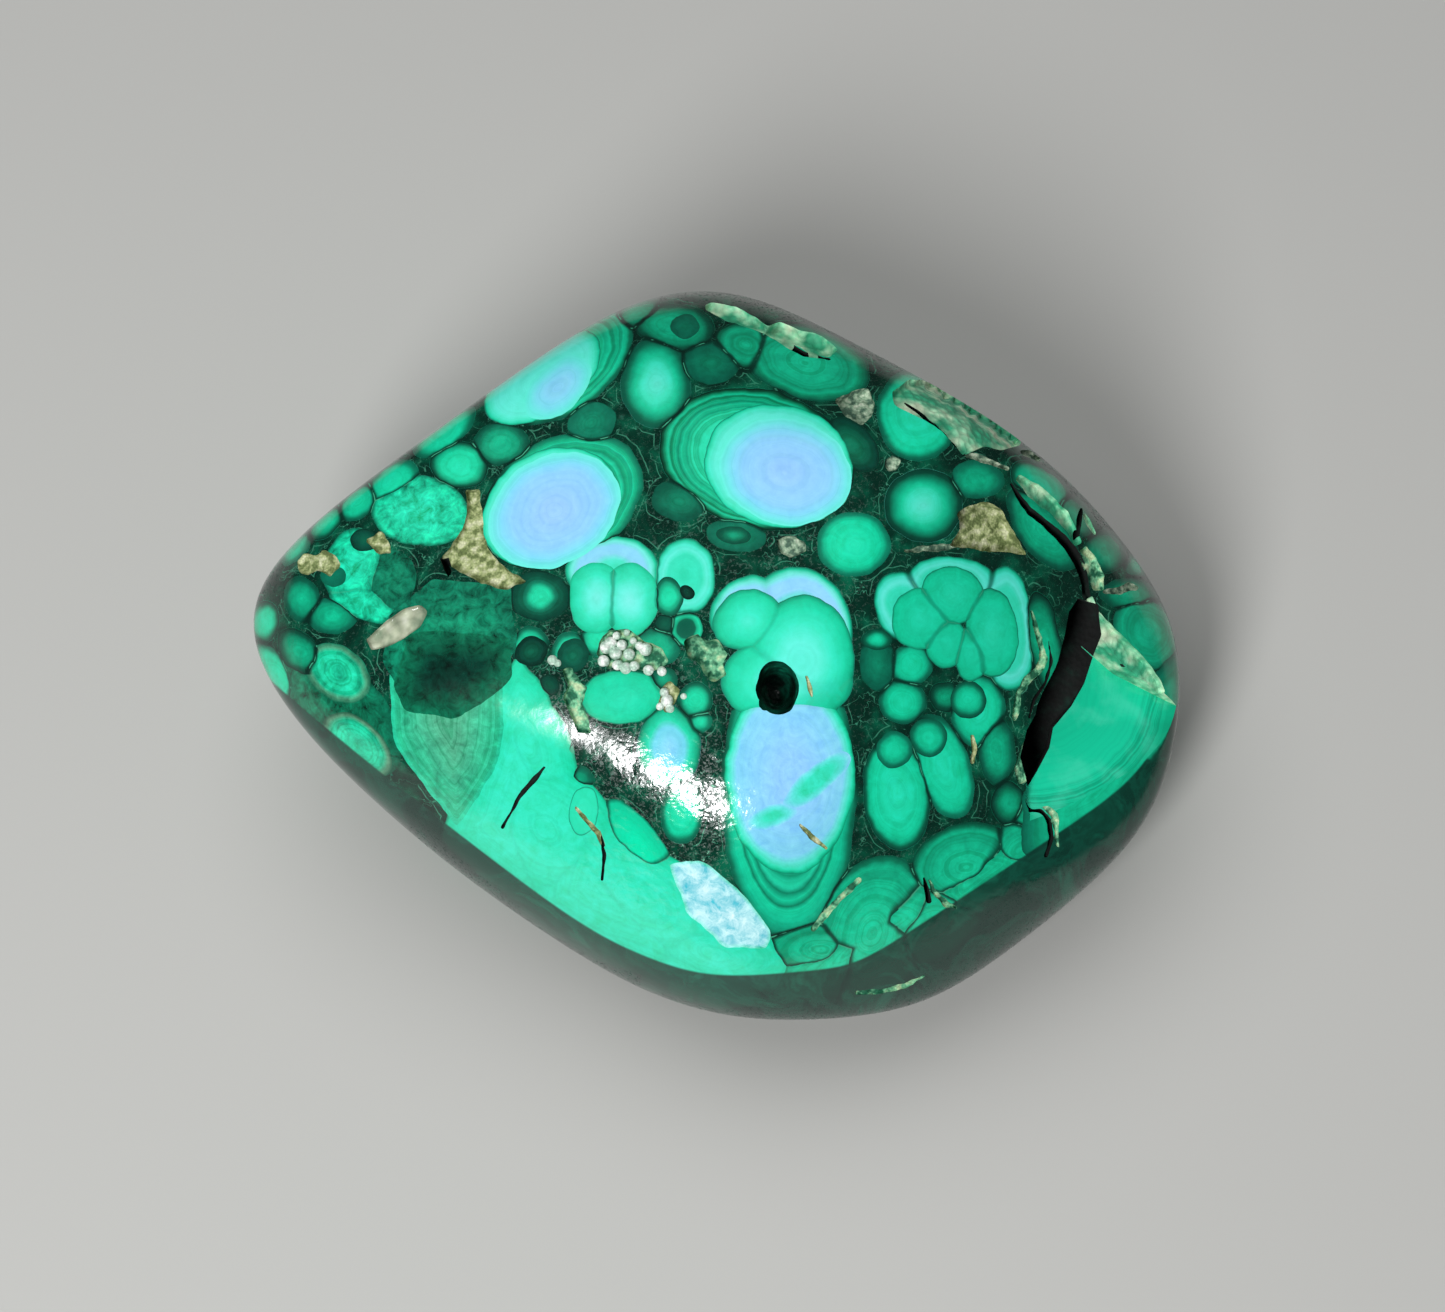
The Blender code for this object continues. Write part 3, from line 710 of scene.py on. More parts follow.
LAYER_STEP = 100.0  # mm of depth that one layer is worth, more than any eye is deep
TINT_TURN = 0.618  # eyes take their tints in this turn of the golden section, so neighbours differ

# The stone's skin is painted part by part, each part with only the eyes that reach it: the lines
# between the parts, and how far outside a part an eye can still reach it.
PART_ACROSS = (-26, -10, 4, 20)
PART_UP = (-12, 0, 12)
PART_MARGIN = 4.5

# The slab's own growth rings
SLAB_RING_MIDDLE = (31.1, -2.4)
SLAB_RING_RADIUS = 11.8
SLAB_REACH = 20.0
SLAB_STOPS = (
    (0, "#13c89b"), (6, "#12c99b"), (10.5, "#17d3a4"), (12.4, "#10c193"), (13.4, "#0bb084"),
    (15, "#079a72"), (17, "#05785a"), (20, "#045f48"),
)

# Small white balls grown in the open pits: across, up, radius
BALLS = (
    (-9.5, 2.0, 0.38), (-8.5, 2.3, 0.32), (-7.9, 1.5, 0.34), (-7.3, 1.0, 0.42), (-6.7, 0.7, 0.62),
    (-6.4, -1.4, 0.55), (-5.1, -1.5, 0.52), (-10.8, -0.5, 0.60), (-10.5, 0.9, 0.62),
    (-10.1, 1.3, 0.60), (-8.6, -1.2, 0.62), (-9.4, -0.9, 0.55), (-7.8, -1.0, 0.52), (-9.0, 1.1, 0.5),
    (-8.3, 0.2, 0.55), (-9.6, 0.3, 0.6), (-15.7, -0.4, 0.55), (-15.2, -0.7, 0.4), (-4.6, -4.3, 0.6),
    (-4.9, -3.5, 0.45), (-4.3, -5.1, 0.45), (-5.3, -4.9, 0.4), (-3.0, -3.9, 0.35),
)

# Studio, in metres and watts except where a comment says mm
FLOOR_SIZE = 3.0
FRAME_WIDTH_AT_CORE = 139.9  # mm seen across the whole photograph
FRAME_ASIDE = 0.73  # mm that the view's middle lies to the right of the core
SENSOR = 36.0  # mm
KEY_WAY = (-0.26, -0.31, 0.91)  # towards the key light, along the show axes
KEY_FAR = 0.6
KEY_SIDES = (0.14, 0.27)
KEY_POWER = 3.1
CEILING_FROM_CORE = (-0.2, 0.25, 1.0)
CEILING_SIDES = (1.2, 1.2)
CEILING_POWER = 7.4
WORLD_STRENGTH = 0.06


def face_normals():
    normals = []
    distances = []
    for turn, lean, distance in SHOW_FACES.values():
        turn = math.radians(turn)
        lean = math.radians(lean)
        level = ACROSS * math.cos(turn) + UP * math.sin(turn)
        normals.append(level * math.cos(lean) + OUT * math.sin(lean))
        distances.append(distance * MM)
    for compass, rise, distance in UNDER_FACES.values():
        compass = math.radians(compass)
        rise = math.radians(rise)
        level = Vector((math.cos(compass), math.sin(compass), 0))
        normals.append(level * math.cos(rise) + Vector((0, 0, math.sin(rise))))
        distances.append(distance * MM)
    return np.array(normals), np.array(distances)


NORMALS, DISTANCES = face_normals()


def depth_level(points):
    """1 on the skin, less inside and more outside, for an array of points round the core."""
    pushes = np.maximum(points @ NORMALS.T / DISTANCES, 0)
    return (pushes**EDGE_HARDNESS).sum(-1) ** (1 / EDGE_HARDNESS)


def skin_normals(points):
    pushes = np.maximum(points @ NORMALS.T / DISTANCES, 0)
    slopes = (pushes ** (EDGE_HARDNESS - 1)) @ (NORMALS / DISTANCES[:, None])
    return slopes / np.linalg.norm(slopes, axis=-1, keepdims=True)


def seen(across, up):
    """The point of the skin, from the core, that shows at this place, or the place itself."""
    eye = OUT * READ_FROM * MM
    place = (ACROSS * across + UP * up) * MM
    ray = (place - eye).normalized()
    reach = READ_FROM * MM + np.arange(*SIGHT_SEARCH) * MM
    points = np.array(eye) + reach[:, None] * np.array(ray)
    inside = np.nonzero(depth_level(points) <= 1)[0]
    return Vector(points[inside[0]]) if len(inside) else place


def linear(hex_colour):
    """A colour written as sRGB hex, as the linear values that a shader takes."""
    parts = [int(hex_colour[i : i + 2], 16) / 255 for i in (1, 3, 5)]
    return [p / 12.92 if p <= 0.04045 else ((p + 0.055) / 1.055) ** 2.4 for p in parts] + [1.0]


def add(tree, kind, inputs=(), **settings):
    """Adds a node with its settings and links, and returns its first open output."""
    node = tree.nodes.new(kind)
    for name, value in settings.items():
        setattr(node, name, value)
    sockets = [socket for socket in node.inputs if socket.enabled]
    named = inputs.items() if isinstance(inputs, dict) else enumerate(inputs)
    for key, value in named:
        if isinstance(key, str):
            socket = next(s for s in sockets if s.name == key)
        else:
            socket = sockets[key]
        if isinstance(value, bpy.types.NodeSocket):
            tree.links.new(value, socket)
        elif value is not None:
            socket.default_value = value
    return next((socket for socket in node.outputs if socket.enabled), None)


def paint_ramp(ramp, stops, reach):
    """Sets a colour ramp's stops from (depth, colour) pairs."""
    elements = ramp.color_ramp.elements
    while len(elements) > 1:
        elements.remove(elements[-1])
    for index, (depth, colour) in enumerate(stops):
        element = elements[0] if index == 0 else elements.new(depth / reach)
        element.position = depth / reach
        element.color = linear(colour)


def new_surface(name):
    material = bpy.data.materials.new(name)
    material.use_nodes = True
    tree = material.node_tree
    tree.nodes.clear()
    shader = add(tree, "ShaderNodeBsdfPrincipled").node
    add(tree, "ShaderNodeOutputMaterial", {"Surface": shader.outputs[0]})
    return material, tree, shader


def stone_places(tree):
    """Millimetres from the core along the show axes, and the place on the show side."""
    place = add(tree, "ShaderNodeTexCoord").node.outputs["Object"]
    place = add(tree, "ShaderNodeVectorMath", [place, CORE], operation="SUBTRACT")
    place = add(tree, "ShaderNodeVectorMath", {"Vector": place, "Scale": 1 / MM}, operation="SCALE")
    out = add(tree, "ShaderNodeVectorMath", [place, OUT], operation="DOT_PRODUCT")
    return place, out


def on_show_side(tree, place, out):
    """Where the sight line through a place meets the plane through the core."""
    across = add(tree, "ShaderNodeVectorMath", [place, ACROSS], operation="DOT_PRODUCT")
    up = add(tree, "ShaderNodeVectorMath", [place, UP], operation="DOT_PRODUCT")
    flat = add(tree, "ShaderNodeCombineXYZ", [across, up, 0.0])
    left = add(tree, "ShaderNodeMath", [READ_FROM, out], operation="SUBTRACT")
    spread = add(tree, "ShaderNodeMath", [READ_FROM, left], operation="DIVIDE")
    flat = add(tree, "ShaderNodeVectorMath", {"Vector": flat, "Scale": spread}, operation="SCALE")
    return add(tree, "ShaderNodeVectorMath", [flat, (0, 0, 1)], operation="ADD")


def waver(tree, place, grain, amount):
    """A smooth sideways push of up to the amount, changing over the grain, both in mm."""
    noise = add(
        tree,
        "ShaderNodeTexNoise",
        {"Vector": place, "Scale": 1 / grain, "Detail": 2.0, "Roughness": 0.5},
    ).node.outputs["Color"]
    push = add(tree, "ShaderNodeVectorMath", [noise, (0.5, 0.5, 0.5)], operation="SUBTRACT")
    push = add(tree, "ShaderNodeVectorMath", [push, (2, 2, 0)], operation="MULTIPLY")
    return add(tree, "ShaderNodeVectorMath", {"Vector": push, "Scale": amount}, operation="SCALE")


def eye_depth(tree, flat, across, up, half_length, half_width, turn):
    """How deep inside an eye each place lies, from its rim, in millimetres."""
    if half_length == half_width:
        far = add(tree, "ShaderNodeVectorMath", [flat, (across, up, 1)], operation="DISTANCE")
        far = add(tree, "ShaderNodeMath", [far, 1 / half_length], operation="MULTIPLY")
    else:
        sides = []
        for angle, half in ((turn, half_length), (turn + 90, half_width)):
            along = math.cos(math.radians(angle))
            aside = math.sin(math.radians(angle))
            share = Vector((along, aside, -across * along - up * aside)) / half
            side = add(tree, "ShaderNodeVectorMath", [flat, share], operation="DOT_PRODUCT")
            sides.append(side)
        far = add(tree, "ShaderNodeCombineXYZ", sides)
        far = add(tree, "ShaderNodeVectorMath", [far], operation="LENGTH")
    radius = math.sqrt(half_length * half_width)
    rim = radius + DARK_RIM
    return add(tree, "ShaderNodeMath", [far, -radius, rim], operation="MULTIPLY_ADD")


def area_depth(tree, flat, border, rounding, closed=True):
    """How deep inside a convex border each place lies, from its nearest side, in millimetres."""
    ends = border[1:] + border[:1] if closed else border[1:]
    nearest = None
    for start, end in zip(border, ends):
        along = (Vector(end) - Vector(start)).normalized()
        inward = Vector((-along.y, along.x))
        side = (inward.x, inward.y, -inward.dot(Vector(start)))
        depth = add(tree, "ShaderNodeVectorMath", [flat, side], operation="DOT_PRODUCT")
        if nearest:
            depth = add(tree, "ShaderNodeMath", [nearest, depth, rounding], operation="SMOOTH_MIN")
        nearest = depth
    return nearest


def compete(tree, flat, cells):
    """Which cell each place belongs to: its depth and layer, the runner-up, its style and tint."""
    best = second = -LAYER_STEP
    code = 0.0
    for number, style, layer, shape in cells:
        if isinstance(shape, list):
            depth = area_depth(tree, flat, shape, AREA_ROUNDING)
        else:
            depth = eye_depth(tree, flat, *shape)
        if layer:
            inside = add(tree, "ShaderNodeMath", [depth, 0.0], operation="GREATER_THAN")
            lift = [inside, LAYER_STEP * layer, depth]
            depth = add(tree, "ShaderNodeMath", lift, operation="MULTIPLY_ADD")
        won = add(tree, "ShaderNodeMath", [depth, best], operation="GREATER_THAN")
        own = list(STYLES).index(style) + (number * TINT_TURN) % 1 * 0.9
        code = add(tree, "ShaderNodeMix", [won, code, own], data_type="FLOAT")
        beaten = add(tree, "ShaderNodeMath", [depth, best], operation="MINIMUM")
        second = add(tree, "ShaderNodeMath", [beaten, second], operation="MAXIMUM")
        best = add(tree, "ShaderNodeMath", [depth, best], operation="MAXIMUM")
    return best, second, code


def crooked(tree, place, out, flat):
    """The place on the show side, a little crooked, and more so down the sides of the stone."""
    near_top = waver(tree, place, 3.6, 0.42)
    fine = waver(tree, place, 1.0, 0.08)
    below = add(tree, "ShaderNodeMapRange", [out, 6.0, -12.0], interpolation_type="SMOOTHSTEP")
    strength = add(tree, "ShaderNodeMath", [below, 3.2], operation="MULTIPLY")
    deep_down = waver(tree, place, 13.0, strength)
    flat = add(tree, "ShaderNodeVectorMath", [flat, near_top], operation="ADD")
    flat = add(tree, "ShaderNodeVectorMath", [flat, fine], operation="ADD")
    flat = add(tree, "ShaderNodeVectorMath", [flat, deep_down], operation="ADD")
    return add(tree, "ShaderNodeVectorMath", [flat, (1, 1, 0), (0, 0, 1)], operation="MULTIPLY_ADD")


def banded_malachite(number, cells):
    """Malachite: copper carbonate in bands, ground and polished. Bands of green from mint to nearly
    black, round eyes with pale middles, some tinted blue-white as painted sheen, a gloss like wax, a
    dark speckled ground between, and painted shade on the steep near wall."""
    material, tree, shader = new_surface(f"polished banded malachite, part {number}")
    place, out = stone_places(tree)
    flat = on_show_side(tree, place, out)
    colour, roughness = eye_pattern(tree, place, crooked(tree, place, out, flat), cells)
    # painted shade: the steep near wall is darkened
    colour = near_wall_painted_shade(tree, place, flat, colour)
    waves = polish_waves(tree, place, flat)
    tree.links.new(waves, shader.inputs["Normal"])
    shader.inputs["IOR"].default_value = MALACHITE_IOR
    tree.links.new(colour, shader.inputs["Base Color"])
    tree.links.new(roughness, shader.inputs["Roughness"])
    return material


def polish_waves(tree, place, flat):
    """The polish is a little wavy, and more so where the ground is coarse."""
    waves = add(tree, "ShaderNodeTexNoise", {"Vector": place, "Scale": 0.45, "Detail": 4.0})
    coarse = add(tree, "ShaderNodeVectorMath", [flat, COARSE_MIDDLE], operation="DISTANCE")
    coarse = add(tree, "ShaderNodeMapRange", [coarse, 12.0, 5.0], interpolation_type="SMOOTHSTEP")
    share = add(tree, "ShaderNodeMath", [coarse, 0.8, 0.2], operation="MULTIPLY_ADD")
    height = add(tree, "ShaderNodeMath", [waves, share], operation="MULTIPLY")
    return add(tree, "ShaderNodeBump", {"Height": height, "Strength": 1.0, "Distance": WAVE_HEIGHT * MM})


def malachite_slab():
    """The sunken end: one flat polished sheet of light malachite with a few fine growth rings."""
    material, tree, shader = new_surface("polished malachite slab")
    place, out = stone_places(tree)
    flat = crooked(tree, place, out, on_show_side(tree, place, out))
    colour, roughness = slab_rings(tree, place, flat)
    shader.inputs["IOR"].default_value = MALACHITE_IOR
    tree.links.new(colour, shader.inputs["Base Color"])
    tree.links.new(roughness, shader.inputs["Roughness"])
    return material


def slab_rings(tree, place, flat):
    """The slab is the flank of one large column: light green, with fine rings near its rim."""
    middle = (SLAB_RING_MIDDLE[0], SLAB_RING_MIDDLE[1], 1)
    away = add(tree, "ShaderNodeVectorMath", [flat, middle], operation="SUBTRACT")
    away = add(tree, "ShaderNodeVectorMath", [away], operation="LENGTH")
    share = add(tree, "ShaderNodeMath", [away, 1 / SLAB_REACH], operation="MULTIPLY")
    ramp = add(tree, "ShaderNodeValToRGB", [share])
    paint_ramp(ramp.node, SLAB_STOPS, SLAB_REACH)
    rings = add(
        tree,
        "ShaderNodeTexNoise",
        {"W": away, "Scale": 2.6, "Detail": 3.0, "Roughness": 0.6},
        noise_dimensions="1D",
    )
    rings = add(tree, "ShaderNodeMapRange", [rings, 0.42, 0.6], interpolation_type="SMOOTHSTEP")
    near_rings = add(tree, "ShaderNodeMath", [away, SLAB_RING_RADIUS], operation="SUBTRACT")
    near_rings = add(tree, "ShaderNodeMath", [near_rings], operation="ABSOLUTE")
    near_rings = add(tree, "ShaderNodeMapRange", [near_rings, 1.6, 0.7], interpolation_type="SMOOTHSTEP")
    near_rings = add(tree, "ShaderNodeMath", [near_rings, 0.5, 0.08], operation="MULTIPLY_ADD")
    rings = add(tree, "ShaderNodeMath", [rings, near_rings], operation="MULTIPLY")
    colour = add(tree, "ShaderNodeMix", [rings, ramp, linear("#078a67")], data_type="RGBA")
    clouds = add(tree, "ShaderNodeTexNoise", {"Vector": place, "Scale": 0.35, "Detail": 4.0})
    clouds = add(tree, "ShaderNodeMapRange", [clouds, 0.45, 0.75], interpolation_type="SMOOTHSTEP")
    clouds = add(tree, "ShaderNodeMath", [clouds, 0.3], operation="MULTIPLY")
    colour = add(tree, "ShaderNodeMix", [clouds, colour, linear("#5fe6c6")], data_type="RGBA")
    roughness = add(tree, "ShaderNodeMapRange", {"Value": clouds, "To Min": 0.14, "To Max": 0.3})
    return colour, roughness


def eye_pattern(tree, place, flat, cells):
    best, second, code = compete(tree, flat, cells)
    layer_free = add(tree, "ShaderNodeMath", [best, LAYER_STEP], operation="FLOORED_MODULO")
    inside = add(tree, "ShaderNodeMapRange", [best, -0.04, 0.05], interpolation_type="SMOOTHSTEP")
    index = add(tree, "ShaderNodeMath", [code], operation="FLOOR")
    tint = add(tree, "ShaderNodeMath", [code], operation="FRACT")

    # Fine bands follow the depth, each eye with its own sequence.
    shifted = add(tree, "ShaderNodeMath", [code, 31.7, layer_free], operation="MULTIPLY_ADD")
    fine = add(
        tree,
        "ShaderNodeTexNoise",
        {"W": shifted, "Scale": 1.5, "Detail": 3.0, "Roughness": 0.65},
        noise_dimensions="1D",
    )
    fine = add(tree, "ShaderNodeMapRange", [fine, 0.44, 0.62], interpolation_type="SMOOTHSTEP")

    colour = linear("#0c9c73")
    strength = 0.0
    seams = 1.0
    blotches = 0.2
    used = {style for number, style, layer, shape in cells}
    for number, (style, (reach, bands, seam, blotch, *stops)) in enumerate(STYLES.items()):
        if style in used:
            share = add(tree, "ShaderNodeMath", [layer_free, 1 / reach], operation="MULTIPLY")
            ramp = add(tree, "ShaderNodeValToRGB", [share])
            paint_ramp(ramp.node, stops, reach)
            chosen = add(tree, "ShaderNodeMath", [index, number, 0.4], operation="COMPARE")
            colour = add(tree, "ShaderNodeMix", [chosen, colour, ramp], data_type="RGBA")
            strength = add(tree, "ShaderNodeMix", [chosen, strength, bands], data_type="FLOAT")
            seams = add(tree, "ShaderNodeMix", [chosen, seams, seam], data_type="FLOAT")
            blotches = add(tree, "ShaderNodeMix", [chosen, blotches, blotch], data_type="FLOAT")

    dim = add(tree, "ShaderNodeMath", [fine, strength], operation="MULTIPLY")
    dimmed = [1.0, colour, linear("#4fae8f")]
    banded = add(tree, "ShaderNodeMix", dimmed, data_type="RGBA", blend_type="MULTIPLY")
    colour = add(tree, "ShaderNodeMix", [dim, colour, banded], data_type="RGBA")
    lighter = add(tree, "ShaderNodeMath", [tint, 0.2], operation="MULTIPLY")
    colour = add(tree, "ShaderNodeMix", [lighter, colour, linear("#16d6a6")], data_type="RGBA")

    cloudy = add(
        tree,
        "ShaderNodeTexNoise",
        {"Vector": place, "Scale": 0.8, "Detail": 5.0, "Roughness": 0.7, "Distortion": 0.5},
    )
    cloudy = add(tree, "ShaderNodeMapRange", {"Value": cloudy, "From Min": 0.3, "From Max": 0.7})
    colour = add(tree, "ShaderNodeMix", [blotches, colour, cloudy], data_type="RGBA", blend_type="OVERLAY")

    # Where two eyes meet, a dark seam with a thread of pale vein in it.
    gap = add(tree, "ShaderNodeMath", [best, second], operation="SUBTRACT")
    wander = add(tree, "ShaderNodeTexNoise", {"Vector": place, "Scale": 0.5, "Detail": 3.0})
    seam = add(tree, "ShaderNodeMapRange", [gap, 0.65, 0.12], interpolation_type="SMOOTHSTEP")
    seam = add(tree, "ShaderNodeMath", [seam, seams], operation="MULTIPLY")
    colour = add(tree, "ShaderNodeMix", [seam, colour, linear("#02291f")], data_type="RGBA")
    thread = add(tree, "ShaderNodeMapRange", [gap, 0.12, 0.04], interpolation_type="SMOOTHSTEP")
    patchy = add(tree, "ShaderNodeMapRange", [wander, 0.5, 0.56], interpolation_type="SMOOTHSTEP")
    thread = add(tree, "ShaderNodeMath", [thread, patchy], operation="MULTIPLY")
    thread = add(tree, "ShaderNodeMath", [thread, seams], operation="MULTIPLY")
    colour = add(tree, "ShaderNodeMix", [thread, colour, linear("#3fa37f")], data_type="RGBA")

    ground, ground_roughness = speckled_ground(tree, place, flat, best)
    colour = add(tree, "ShaderNodeMix", [inside, ground, colour], data_type="RGBA")
    gloss = add(tree, "ShaderNodeMapRange", {"Value": wander, "To Min": 0.10, "To Max": 0.22})
    roughness = add(tree, "ShaderNodeMix", [inside, ground_roughness, gloss], data_type="FLOAT")
    return colour, roughness


def speckled_ground(tree, place, flat, best):
    """The dark ground between the eyes: blue-green, full of teal and pale specks and thin threads."""
    blotch = add(tree, "ShaderNodeTexNoise", {"Vector": place, "Scale": 0.45, "Detail": 5.0})
    ramp = add(tree, "ShaderNodeValToRGB", [blotch])
    stops = ((0, "#01140e"), (0.42, "#01281d"), (0.52, "#013526"), (0.6, "#024733"), (0.7, "#045c42"),
             (1, "#077052"))
    paint_ramp(ramp.node, stops, 1.0)
    # near the coarse place the pale and teal specks crowd in: partly the ground's own specks, partly
    # painted glints of the light
    coarse = add(tree, "ShaderNodeVectorMath", [flat, COARSE_MIDDLE], operation="DISTANCE")
    coarse = add(tree, "ShaderNodeMapRange", [coarse, 9.0, 4.0], interpolation_type="SMOOTHSTEP")
    grit = add(
        tree,
        "ShaderNodeTexNoise",
        {"Vector": place, "Scale": 3.2, "Detail": 3.0, "Roughness": 0.7, "Distortion": 0.6},
    )
    lifted = add(tree, "ShaderNodeMath", [coarse, 0.035, grit], operation="MULTIPLY_ADD")
    teal = add(tree, "ShaderNodeMapRange", [lifted, 0.61, 0.72], interpolation_type="SMOOTHSTEP")
    colour = add(tree, "ShaderNodeMix", [teal, ramp, linear("#0a5c4a")], data_type="RGBA")
    specks_and_glints = add(tree, "ShaderNodeMapRange", [blotch, 0.5, 0.62], interpolation_type="SMOOTHSTEP")
    specks_and_glints = add(tree, "ShaderNodeMath", [specks_and_glints, coarse], operation="MAXIMUM")
    pale = add(tree, "ShaderNodeMapRange", [lifted, 0.68, 0.76], interpolation_type="SMOOTHSTEP")
    pale = add(tree, "ShaderNodeMath", [pale, specks_and_glints], operation="MULTIPLY")
    colour = add(tree, "ShaderNodeMix", [pale, colour, linear("#74c9a0")], data_type="RGBA")
    # A thin pale thread follows each eye at a little distance, broken here and there, and a few
    # more wander across.
    threads = add(tree, "ShaderNodeTexNoise", {"Vector": place, "Scale": 0.4, "Detail": 3.0})
    apart = add(tree, "ShaderNodeMath", [threads, 0.9, best], operation="MULTIPLY_ADD")
    halo = add(tree, "ShaderNodeMath", [apart], operation="ABSOLUTE")
    halo = add(tree, "ShaderNodeMapRange", [halo, 0.07, 0.02], interpolation_type="SMOOTHSTEP")
    whole = add(tree, "ShaderNodeMapRange", [threads, 0.46, 0.58], interpolation_type="SMOOTHSTEP")
    halo = add(tree, "ShaderNodeMath", [halo, whole], operation="MULTIPLY")
    stray = add(tree, "ShaderNodeMath", [threads, 0.5, 0.003], operation="COMPARE")
    halo = add(tree, "ShaderNodeMath", [halo, stray], operation="MAXIMUM")
    halo = add(tree, "ShaderNodeMath", [halo, 0.4], operation="MULTIPLY")
    colour = add(tree, "ShaderNodeMix", [halo, colour, linear("#4fae8b")], data_type="RGBA")
    rough = add(tree, "ShaderNodeMapRange", [lifted, 0.52, 0.62], interpolation_type="SMOOTHSTEP")
    roughness = add(tree, "ShaderNodeMapRange", {"Value": rough, "To Min": 0.11, "To Max": 0.5})
    return colour, roughness


def near_wall_painted_shade(tree, place, flat, colour):
    """Painted shade on the steep near wall: below its border, where the skin faces down, long bands
    of dark green, the columns cut lengthwise, darkened as painted shade.
    """
    above = area_depth(tree, flat, WALL_BORDER, WALL_ROUNDING, closed=False)
    wall = add(tree, "ShaderNodeMapRange", [above, 0.12, -0.12], interpolation_type="SMOOTHSTEP")
    normal = add(tree, "ShaderNodeTexCoord").node.outputs["Normal"]
    facing_up = add(tree, "ShaderNodeVectorMath", [normal, UP], operation="DOT_PRODUCT")
    near = add(tree, "ShaderNodeMapRange", [facing_up, 0.2, 0.0], interpolation_type="SMOOTHSTEP")
    wall = add(tree, "ShaderNodeMath", [wall, near], operation="MULTIPLY")
    wall = add(tree, "ShaderNodeMath", [wall, 0.96], operation="MULTIPLY")
    long_bands = add(
        tree,
        "ShaderNodeTexNoise",
        {"Vector": place, "Scale": 0.16, "Detail": 5.0, "Roughness": 0.6, "Distortion": 0.8},
    )
    ramp = add(tree, "ShaderNodeValToRGB", [long_bands])
    # dark greens: the wall's painted shade over its long bands
    stops = ((0, "#04231c"), (0.44, "#062f26"), (0.5, "#0a4335"), (0.56, "#07352a"), (0.64, "#0d5341"),
             (1, "#0f6550"))
    paint_ramp(ramp.node, stops, 1.0)
    return add(tree, "ShaderNodeMix", [wall, colour, ramp], data_type="RGBA")


def crust(name, dark, middle, pale, grain, roughness):
    """An open, unpolished surface of small grains, dull and dusty, with painted shade darkening each grain
    towards its rim.
    """
    material, tree, shader = new_surface(name)
    place, out = stone_places(tree)
    coarse = add(tree, "ShaderNodeTexNoise", {"Vector": place, "Scale": 0.6 / grain, "Detail": 5.0})
    ramp = add(tree, "ShaderNodeValToRGB", [coarse])
    paint_ramp(ramp.node, ((0, dark), (0.42, dark), (0.52, middle), (0.64, pale), (1, pale)), 1.0)
    grains = add(tree, "ShaderNodeTexVoronoi", {"Vector": place, "Scale": 2.2 / grain})
    # painted shade: each grain darkens towards its rim, down to 0.55
    painted_grain_shade = add(tree, "ShaderNodeMapRange", {"Value": grains, "To Min": 1.1, "To Max": 0.55})
    colour = add(tree, "ShaderNodeMix", [1.0, ramp, painted_grain_shade], data_type="RGBA", blend_type="MULTIPLY")
    bump = add(tree, "ShaderNodeBump", {"Height": grains, "Strength": 0.5, "Distance": grain * MM / 5})
    shader.inputs["Roughness"].default_value = roughness
    tree.links.new(colour, shader.inputs["Base Color"])
    tree.links.new(bump, shader.inputs["Normal"])
    return material


def make_materials():
    return {
        "slab": malachite_slab(),
        # near-black greens: painted shadow in the clefts, cracks, cavity and slab walls
        "dark hollow": crust("open cleft wall with painted shadow", "#000302", "#010c08", "#03241b", 1.2, 0.9),
        "hole wall": crust("round hole wall", "#02130e", "#064a38", "#0f7d5e", 1.6, 0.35),
        "grey crust": crust("grey crusted vug", "#4a6a58", "#93b094", "#c5d5bd", 0.5, 0.8),
        # whitish tan: the lump's own pale colour, lightened further as painted glare
        "glossy tan": crust("glossy tan lump", "#768a72", "#b4bca2", "#dfe3d2", 2.4, 0.2),
        "tan crust": crust("tan crusted vug", "#6a7a48", "#a9b57e", "#d2d6b0", 0.5, 0.85),
        "pale crust": crust("pale crusted vug", "#1b6a4c", "#7cc79a", "#c4ddb0", 0.6, 0.8),
        "pale fracture": crust("pale broken malachite", "#3fb487", "#98e0b4", "#dcf4d0", 1.6, 0.6),
        "white balls": crust("white botryoid growth", "#b4d6c2", "#dcefe2", "#fbfffa", 0.5, 0.45),
    }


def pick_only(piece):
    bpy.ops.object.select_all(action="DESELECT")
    piece.select_set(True)
    bpy.context.view_layer.objects.active = piece


def apply_modifiers(piece):
    pick_only(piece)
    for modifier in list(piece.modifiers):
        bpy.ops.object.modifier_apply(modifier=modifier.name)


def grind_stone():
    """A fine sphere moved to the ground faces and cut flat where it rests."""
    bpy.ops.object.select_all(action="DESELECT")
    bpy.ops.mesh.primitive_ico_sphere_add(subdivisions=SKIN_DETAIL, radius=1)
    stone = bpy.context.object
    stone.name = "malachite_skin"
    mesh = stone.data
    places = np.empty(len(mesh.vertices) * 3)
    mesh.vertices.foreach_get("co", places)
    directions = places.reshape(-1, 3)
    directions /= np.linalg.norm(directions, axis=1, keepdims=True)
    places = directions / depth_level(directions)[:, None] + np.array(CORE)
    mesh.vertices.foreach_set("co", places.ravel())
    mesh.update()
    pick_only(stone)
    bpy.ops.object.mode_set(mode="EDIT")
    bpy.ops.mesh.select_all(action="SELECT")
    bpy.ops.mesh.bisect(
        plane_co=(0, 0, 0), plane_no=(0, 0, -1), use_fill=True, clear_outer=True, threshold=1e-6
    )
    bpy.ops.object.mode_set(mode="OBJECT")
    return stone


